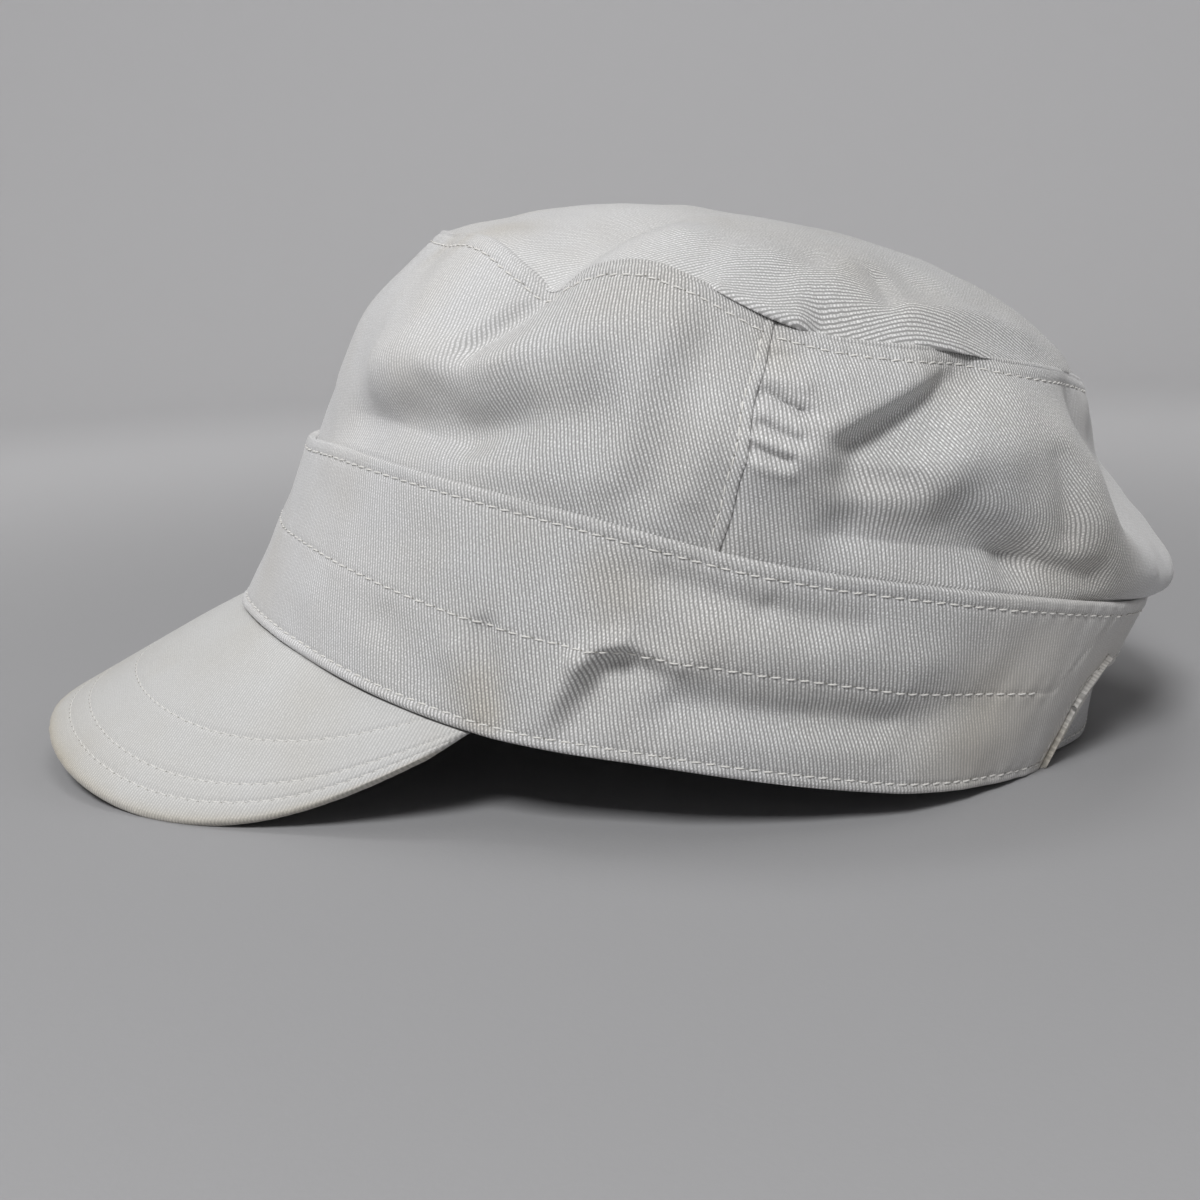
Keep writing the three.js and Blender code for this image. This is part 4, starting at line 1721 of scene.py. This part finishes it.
    def build(self, twill: Finish, thread: Finish, stitching: Stitching) -> None:
        """Makes and dresses the panel, its stitching and, in front, that of the side seams.

        Args:
            twill: The cloth's finish.
            thread: The finishes of the thread and of its needle holes.
            stitching: How the rows are stitched.
        """
        cloth, fields = self.cloth()
        part = "front" if self.front else "rear"
        wall = sew_wall(f"crown_{part}_cloth", cloth, self.lie)
        dress(wall, twill, "crown_twill", f"crown_{part}")
        margin = 1.2 if self.front else 0.6
        shown = fields["seam"].min(axis=0) > margin
        line, ways = cloth.contour(fields["top"], self.strip, up=False)
        seam = Seam.CROWN_TOP_FRONT if self.front else Seam.CROWN_TOP_REAR
        row = stitching.row(seam.value, [(line[shown], ways[shown])], self.lie, closed=False)
        dress(row, thread, "crown_twill")
        if self.front:
            lines = [self.seam_line(cloth, fields, side) for side in (-1, 1)]
            sides = stitching.row(Seam.SIDES.value, lines, self.lie, closed=False)
            dress(sides, thread, "crown_twill")

    def seam_line(self, cloth: Cloth, fields: Fields, side: int) -> Line:
        """Follows the stitching beside a side seam, from the band up to the top's stitching.

        Args:
            cloth: The panel.
            fields: Its distances from the seams.
            side: -1 for the wearer's right and 1 for the left.

        Returns:
            Points on the outer face and the directions out of it.
        """
        face = cloth.outer()
        ways = facing(face, closed=False)
        distance = fields["seam"]
        half = distance.shape[1] // 2
        columns = slice(0, half) if side < 0 else slice(half, None)
        nearest = np.abs(distance[:, columns] - self.seam_strip).argmin(axis=1)
        nearest = nearest if side < 0 else nearest + half
        rows = np.nonzero((cloth.v[:, 0] > 1.0) & (fields["top"].max(axis=1) > self.strip))[0]
        return face[rows, nearest[rows]], ways[rows, nearest[rows]]


@dataclass
class CrownTop:
    """The domed top, whose edge is turned over the walls and stands out as a small ledge."""

    form: CapForm
    lie: Lie
    tuck: float = 1.1
    lift: float = 0.2
    ledge: float = 2.0
    ledge_lift: float = 1.1
    ledge_from: float = 74.0
    ledge_to: float = 95.0
    second_ledge_from: float = 98.0
    second_ledge_to: float = 139.0
    second_ledge: float = 0.4
    ledge_ease: float = 5.0
    second_ledge_start: float = 14.0
    second_ledge_end: float = 16.0
    edge_share: float = 0.9
    radius: float = 75.0
    droop: float = 0.25
    droop_width: float = 0.7
    lip: float = 0.3
    lip_from_edge: float = 1.3
    columns: int = 540
    ring_step: float = 0.95
    uneven: Unevenness = Unevenness(seed=19, length=38.0, height=0.3)
    crumple: Unevenness = Unevenness(seed=20, length=14.0, height=0.1)
    creases: Folds = (
        Fold(66, 2, 52, 12, 3.5, -1.0),
        Fold(66, 14, 50, 20, 4.0, 1.0),
        Fold(61, 29.5, 50, 27, 3.0, -2.2),
        Fold(62, 31, 43, 61, 4, 4),
        Fold(54, 38, 42, 60, 4.0, -1.2),
        Fold(54, -30, 48, -16, 5.0, 0.8),
        Fold(20, -52, 30, -30, 9.0, -0.8),
        Fold(-58, 10, -44, 16, 5.0, -0.8),
        Fold(-20, 84, -10, 66, 8.0, 0.8),
    )
    stains: Spots = (Spot(28, -52, 8, 0.2), Spot(0, -58, 12, 0.12), Spot(50, 20, 12, 0.1))

    def ledge_at(self, angle: Array) -> Array:
        """How far the edge comes out as a ledge, from 0 tucked behind the wall's edge to 1.

        Args:
            angle: Angles round the cap.

        Returns:
            Shares from 0 to 1.
        """
        start = smooth((angle - self.ledge_from) / self.ledge_ease)
        end = smooth((self.ledge_to - angle) / self.ledge_ease)
        second_start = smooth((angle - self.second_ledge_from) / self.second_ledge_start)
        second_end = smooth((self.second_ledge_to - angle) / self.second_ledge_end)
        return np.maximum(start * end, self.second_ledge * (second_start * second_end))

    def cloth(self) -> Cloth:
        """Lays out the top from its middle to its edge."""
        form = self.form
        angle = np.linspace(-180, 180, self.columns + 1)[None, :]
        near = np.array([4.0, 3.2, 2.5, 1.9, 1.4, 1.0, 0.65, 0.35, 0.15, 0.03, 0.0]) / self.radius
        share = np.concatenate([spread(0.0, 1 - near[0], self.ring_step / self.radius), 1 - near])
        out = np.broadcast_to(share[:, None], (len(share), angle.shape[1]))
        angle = np.broadcast_to(angle, out.shape)
        shown = self.ledge_at(angle)
        face = form.top_surface(angle, out, self.lift + self.ledge_lift * shown, self.creases)
        at_edge = smooth((out - self.edge_share) / (1 - self.edge_share))
        reach = (self.ledge * shown - self.tuck) * at_edge
        face = face + form.outward(angle) * reach[..., None]
        up = -facing(face, closed=True)
        up[0] = np.array([0.0, 0.0, 1.0])
        from_edge = (1 - out) * self.radius
        thick = form.crown_wall / 2
        half = edge_profile(from_edge, thick)
        middle = face - up * thick
        middle[..., 2] -= self.droop * ridge(from_edge, self.droop_width)
        lip = self.lip * shown * ridge(from_edge - self.lip_from_edge, 1.0)
        rise = lip + self.uneven.at(face) + self.crumple.at(face)
        x, y = face[..., 0], face[..., 1]
        marks = {STAIN_AND_SHADE: soiled_and_shaded(self.stains, x, y), PRESSED: 0.55 * smooth((20 - y) / 60)}
        return Cloth(middle, up, half, rise, x, y, True, marks)

    def build(self, twill: Finish) -> None:
        """Makes and dresses the top."""
        wall = sew_wall("crown_top_cloth", self.cloth(), self.lie)
        dress(wall, twill, "crown_twill", "crown_top")


@dataclass
class Peak:
    """The stiff peak: twill over a board bent round a cylinder that slopes down to the front.

    Sizes are in mm; rows are the stitching's distances from the outer edge.
    """

    form: CapForm
    lie: Lie
    bend_radius: float = 94.0
    slope: float = 41.0
    length: float = 56.5
    corner_angle: float = 67.0
    edge_squareness: float = 0.6
    edge_tuck_in: float = 3.3
    flat_drop: float = 4.0
    flat_width: float = 45.0
    corner_inset: float = 0.6
    edge_turn: float = 89.0
    rows: tuple[float, ...] = (6.5, 12.0, 25.0)
    groove: float = 0.22
    groove_width: float = 0.8
    columns: int = 420
    steps: int = 104
    tuck: float = 1.6
    fray: Unevenness = Unevenness(seed=29, length=2.4, height=0.14)
    fray_share: float = 0.6
    fray_width: float = 1.6
    fray_ease: float = 1.2
    uneven: Unevenness = Unevenness(seed=23, length=42.0, height=0.22)
    edge_soil: float = 0.35
    edge_soil_width: float = 2.5
    stains: Spots = (
        Spot(-60, 50, 14, 0.1),
        Spot(30, 54, 12, 0.16),
        Spot(45, 48, 9, 0.16),
        Spot(0, 52, 16, 0.14),
    )

    def sag(self, bend: Array) -> Array:
        """How far the bent sheet falls away from its middle line."""
        return self.bend_radius * (1 - np.cos(bend))

    def sheet(self, across: Array, forward: Array) -> Array:
        """A place on the bent sheet: across from the middle, and forward from the front rim.

        Args:
            across: Places across in mm.
            forward: Places forward in mm.

        Returns:
            Points in mm.
        """
        slope = math.radians(self.slope)
        bend = across / self.bend_radius
        flatter = self.flat_drop * ridge(across, self.flat_width)
        front = self.form.rim.middle - self.form.rim.half_length
        x = self.bend_radius * np.sin(bend)
        y = front - forward * math.cos(slope) + self.sag(bend) * math.sin(slope)
        z = -forward * math.sin(slope) - (self.sag(bend) + flatter) * math.cos(slope)
        return np.stack([x, y, z], axis=-1)

    def seam(self, angle: Array) -> tuple[Array, Array]:
        """Where the bent sheet meets the rim: across and forward.

        Args:
            angle: Angles round the cap.

        Returns:
            Both places in mm.
        """
        rim = self.form.rim_point(angle)
        slope = math.radians(self.slope)
        bend = np.arcsin(rim[..., 0] / self.bend_radius)
        front = self.form.rim.middle - self.form.rim.half_length
        forward = (front - rim[..., 1] + self.sag(bend) * math.sin(slope)) / math.cos(slope)
        return self.bend_radius * bend, forward

    def face(self, side: Array, out: Array) -> tuple[Array, Array, Array]:
        """The upper face, by share of its width and of the way to its edge.

        Args:
            side: From -1 to 1 across the peak.
            out: From 0 at the seam to 1 at the edge.

        Returns:
            Points, and the places across and forward on the flat sheet.
        """
        angle = side * (self.corner_angle - self.corner_inset)
        turn = np.radians(side * self.edge_turn)
        seam_across, seam_forward = self.seam(angle)
        corner_across, corner_forward = self.seam(np.array(self.corner_angle))
        edge_across = corner_across * np.sin(turn) - self.edge_tuck_in * np.sin(2 * turn)
        square = np.cos(turn) ** self.edge_squareness
        edge_forward = corner_forward + (self.length - corner_forward) * square
        across = seam_across + (edge_across - seam_across) * out
        forward = seam_forward + (edge_forward - seam_forward) * out
        points = self.sheet(across, forward)
        under_rim = self.form.rim_point(angle)[..., 2] - self.form.gap
        at_seam = self.sheet(seam_across, seam_forward)[..., 2]
        points[..., 2] += (under_rim - at_seam) * (1 - out) ** 2
        return points, across, forward

    def cloth(self) -> tuple[Cloth, Array]:
        """Lays out the peak.

        Returns:
            The cloth and each point's distance from the outer edge in mm.
        """
        ends = np.array([0.0, 0.0004, 0.0016, 0.004, 0.008])
        inside = np.linspace(-1 + 0.012, 1 - 0.012, self.columns)
        side = np.concatenate([-1 + ends, inside, 1 - ends[::-1]])[None, :]
        near = np.array([1.8, 1.3, 0.9, 0.55, 0.3, 0.12, 0.03, 0.0]) / self.length
        out = np.concatenate([spread(0.0, 1 - near[0], 1.0 / self.steps), 1 - near])[:, None]
        side, out = np.broadcast_arrays(side, out)
        points, across, forward = self.face(side, out)
        normal = -facing(points, closed=False)
        edge, _, _ = self.face(side[-1:], np.ones(side[-1:].shape))
        from_edge = np.linalg.norm(points - edge, axis=-1)
        from_end = (1 - np.abs(side)) * self.corner_angle * self.form.girth_per_degree
        radius = self.form.peak_wall / 2
        half = edge_profile(np.minimum(from_edge, from_end), radius)
        rise = self.uneven.at(points)
        for row in self.rows:
            rise -= self.groove * ridge(from_edge - row, self.groove_width)
        stain_and_shade = soiled_and_shaded(self.stains, across, forward)
        stain_and_shade += self.edge_soil * ridge(from_edge, self.edge_soil_width)
        ragged = self.fray_share * self.fray.at(points)
        ragged *= smooth((self.fray_width - from_edge) / self.fray_ease)
        middle = points - normal * (radius + ragged)[..., None]
        middle, normal, half = self.tucked_rows(middle, normal, half, side)
        extra = len(half) - len(rise)
        rise, across, forward = (padded(values, extra) for values in (rise, across, forward))
        marks = {STAIN_AND_SHADE: padded(stain_and_shade, extra)}
        cloth = Cloth(middle, normal, half, rise, across, forward, False, marks)
        return cloth, padded(from_edge, extra)

    def tucked_rows(
        self, middle: Array, normal: Array, half: Array, side: Array
    ) -> tuple[Array, ...]:
        """Adds the rows at the seam that go in under the band's edge.

        Args:
            middle: Points of the sheet's middle.
            normal: The ways out.
            half: Half its thickness.
            side: Places from -1 to 1 across the peak.

        Returns:
            The first three with the rows added.
        """
        inward = -self.form.outward(side[0] * self.corner_angle)
        steps = (1.0, 0.95, 0.6)
        rows = [middle[0] + inward * self.tuck * s for s in steps]
        thick = [half[0] * s for s in (0.0, 0.4, 0.9)]
        return (
            np.concatenate([np.stack(rows), middle]),
            np.concatenate([np.stack([normal[0]] * 3), normal]),
            np.concatenate([np.stack(thick), half]),
        )

    def build(self, twill: Finish, thread: Finish, stitching: Stitching) -> None:
        """Makes and dresses the peak and its rows of stitching.

        Args:
            twill: The cloth's finish.
            thread: The finishes of the thread and of its needle holes.
            stitching: How the rows are stitched.
        """
        cloth, from_edge = self.cloth()
        dress(sew_wall("peak_cloth", cloth, self.lie), twill, "peak_twill", "peak")
        lines = [cloth.contour(from_edge, row, up=False) for row in self.rows]
        dress(stitching.row(Seam.PEAK.value, lines, self.lie, closed=False), thread, "peak_twill")


@dataclass
class BackStrap:
    """The plain strap that closes the opening, bowed out between its tucked ends."""

    form: CapForm
    lie: Lie
    lift: float = 2.4
    height: float = 16.0
    tucked_end: float = 42.0
    bow_end: float = 34.0
    bow: float = 7.0
    top_bow: float = 0.5
    edge_row: float = 2.2
    groove: float = 0.22
    groove_width: float = 0.5
    columns: int = 150
    uneven: Unevenness = Unevenness(seed=31, length=22.0, height=0.15)

    def cloth(self) -> tuple[Cloth, Array]:
        """Lays out the strap.

        Returns:
            The cloth and each point's place up the strap in mm.
        """
        form = self.form
        near = np.array([0, 0.05, 0.2, 0.42, 0.7, 1.0, 1.5, 1.9, 2.2, 2.5, 2.9, 3.5])
        inside = np.linspace(4.2, self.height - 4.2, 10)
        up = np.concatenate([near, inside, self.height - near[::-1]])[:, None]
        ends = np.array([0.0, 0.05, 0.2, 0.5])
        reach = self.tucked_end - 1.0
        wide = np.linspace(-reach, reach, self.columns)
        angle = 180 + np.concatenate([ends - self.tucked_end, wide, self.tucked_end - ends[::-1]])
        up, angle = np.broadcast_arrays(up, angle[None, :])
        low, high = form.rim_point(angle), form.band_edge(angle)
        span = np.linalg.norm(high - low, axis=-1)
        share = (self.lift + up) / span
        from_back = np.abs(angle - 180) / self.bow_end
        most = self.bow + (self.top_bow - self.bow) * up / self.height
        bow = np.where(from_back < 1, most * (1 - from_back**2), 0.0)
        face = low + (high - low) * share[..., None]
        face = face + form.outward(angle) * (bow - form.band_wall - form.gap)[..., None]
        out = facing(face, closed=False)
        from_end = (self.tucked_end - np.abs(angle - 180)) * form.girth_per_degree
        from_side = np.minimum(up, self.height - up)
        half = edge_profile(np.minimum(from_end, from_side), form.strap_wall / 2)
        rise = self.uneven.at(face)
        rise -= self.groove * ridge(from_side - self.edge_row, self.groove_width)
        u = angle * form.girth_per_degree
        return Cloth(face - out * (form.strap_wall / 2), out, half, rise, u, up.copy(), False), up

    def build(self, twill: Finish, thread: Finish, stitching: Stitching) -> None:
        """Makes and dresses the strap and the stitching along both its edges.

        Args:
            twill: The cloth's finish.
            thread: The finishes of the thread and of its needle holes.
            stitching: How the rows are stitched.
        """
        cloth, up = self.cloth()
        dress(sew_wall("back_strap_cloth", cloth, self.lie), twill, "band_twill", "back_strap")
        lines = [cloth.contour(up, level) for level in (self.edge_row, self.height - self.edge_row)]
        dress(stitching.row(Seam.STRAP.value, lines, self.lie, closed=False), thread, "band_twill")


@dataclass
class Studio:
    """A pale round sweep, soft lights and the camera at the photograph's angle.

    Lengths are in metres. The camera was found in the cap's frame leaning back by photo_tilt,
    and is carried with the cap to where it lies.
    """

    lie: Lie
    photo_tilt: float = 11.3
    photo_shift: Place = (0.0, 0.0112, -0.0132)
    elevation: float = 12.8
    distance: float = 0.370
    lens: float = 44.0
    sensor: float = 36.0
    floor_radius: float = 1.0
    bend: float = 0.6
    wall: float = 0.8
    ring_step: float = 0.08
    bend_rings: int = 24
    spokes: int = 96
    weld_gap: float = 1e-5

    def turned(self, vector: Vector) -> Vector:
        """A direction of the photograph's frame as the cap lies."""
        return Matrix.Rotation(math.radians(self.photo_tilt - self.lie.tilt), 3, "X") @ vector

    def moved(self, point: Vector) -> Vector:
        """A point of the photograph's frame as the cap lies."""
        shift = Vector((0.0, self.lie.shift_y, self.lie.shift_z)) * MM
        return self.turned(point - Vector(self.photo_shift)) + shift

    def camera(self) -> None:
        """Sets the camera."""
        rise = math.radians(self.elevation)
        back = Vector((math.cos(rise), 0.0, math.sin(rise)))
        right, up = Vector((0.0, 1.0, 0.0)), Vector((-math.sin(rise), 0.0, math.cos(rise)))
        data = bpy.data.cameras.new("photo_camera")
        data.lens, data.sensor_width = self.lens, self.sensor
        data.clip_start, data.clip_end = 0.01, 20.0
        camera = bpy.data.objects.new("photo_camera", data)
        axes = Matrix([self.turned(v) for v in (right, up, back)]).transposed()
        camera.matrix_world = Matrix.Translation(self.moved(back * self.distance)) @ axes.to_4x4()
        bpy.context.scene.collection.objects.link(camera)
        bpy.context.scene.camera = camera

    def sweep(self) -> None:
        """Makes the floor, which bends up into a wall all round."""
        flat = spread(0.0, self.floor_radius, self.ring_step)
        turns = np.linspace(0, math.pi / 2, self.bend_rings)
        wide = self.floor_radius + self.bend
        radius = np.concatenate([flat, self.floor_radius + self.bend * np.sin(turns), [wide, wide]])
        wall = self.bend + self.wall * np.array([0.5, 1.0])
        height = np.concatenate([0 * flat, self.bend * (1 - np.cos(turns)), wall])
        angle = np.linspace(0, 2 * math.pi, self.spokes + 1)
        x = radius[:, None] * np.cos(angle)
        y = radius[:, None] * np.sin(angle)
        z = height[:, None] + 0 * angle
        floor = lay_grid("studio_sweep", np.stack([x, y, z], axis=-1))
        weld(self.weld_gap, inwards=True)
        floor.data.materials.append(PaperFinish().build())

    def light(
        self, name: str, place: Place, size: float, power: float, target: Place = (0.0, 0.0, 0.05)
    ) -> None:
        """Adds a soft square light.

        Args:
            name: The light's name.
            place: Where it is.
            size: Its side.
            power: Its power in watts.
            target: What it faces.
        """
        data = bpy.data.lights.new(name, "AREA")
        data.shape, data.size, data.energy = "SQUARE", size, power
        lamp = bpy.data.objects.new(name, data)
        lamp.location = place
        aim = Vector(target) - Vector(place)
        lamp.rotation_euler = aim.to_track_quat("-Z", "Y").to_euler()
        bpy.context.scene.collection.objects.link(lamp)

    def build(self) -> None:
        """Makes the stage, the lights, the sky and the camera."""
        self.camera()
        self.sweep()
        self.light("window_softbox", (0.8, -0.26, 1.0), 0.36, 11.4)
        self.light("overhead_softbox", (-0.1, -0.35, 1.3), 0.9, 1.8)
        self.light("wall_softbox", (-0.35, 0.0, 1.35), 0.6, 5.4, (-1.5, 0.0, 0.25))
        world = bpy.data.worlds.new("studio_air")
        world.use_nodes = True
        air = world.node_tree.nodes["Background"].inputs
        air["Color"].default_value = linear_colour("#eee8de")
        air["Strength"].default_value = 0.16
        bpy.context.scene.world = world
        bpy.context.scene.view_settings.view_transform = "Standard"


def main() -> None:
    """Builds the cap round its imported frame, then the studio round the cap."""
    logging.basicConfig(level=logging.INFO, format="%(name)s %(message)s")
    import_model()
    form, lie = CapForm(), Lie()
    stitching = Stitching()
    thread = (ThreadFinish().build(), HoleFinish().build())
    band_twill = TwillFinish("bleached_cotton_twill_band").build()
    front_twill = TwillFinish("bleached_cotton_twill_front", lean=-25.0, rib_pitch=0.79).build()
    rear_twill = TwillFinish("bleached_cotton_twill_rear", lean=-13.0, rib_pitch=0.83).build()
    top_twill = TwillFinish("bleached_cotton_twill_top", lean=-16.0, rib_pitch=0.62).build()
    # The peak's twill is the same white cloth: its darker crest colour is painted shade that tones
    # down the light falling on the peak, and its paler groove colour paints less shade in its
    # grooves
    peak_twill = TwillFinish(
        "bleached_cotton_twill_peak_painted_shade", crest="#dfdfde", groove="#bdbdbc", lean=35.0, rib_pitch=0.74,
        rib_depth=0.05, float_length=0.5
    ).build()
    Studio(lie).build()
    Band(form, lie).build(band_twill, thread, stitching)
    BackStrap(form, lie).build(band_twill, thread, stitching)
    CrownSide(form, lie, front=True).build(front_twill, thread, stitching)
    CrownSide(form, lie, front=False).build(rear_twill, thread, stitching)
    CrownTop(form, lie).build(top_twill)
    Peak(form, lie).build(peak_twill, thread, stitching)


if __name__ == "__main__":
    main()
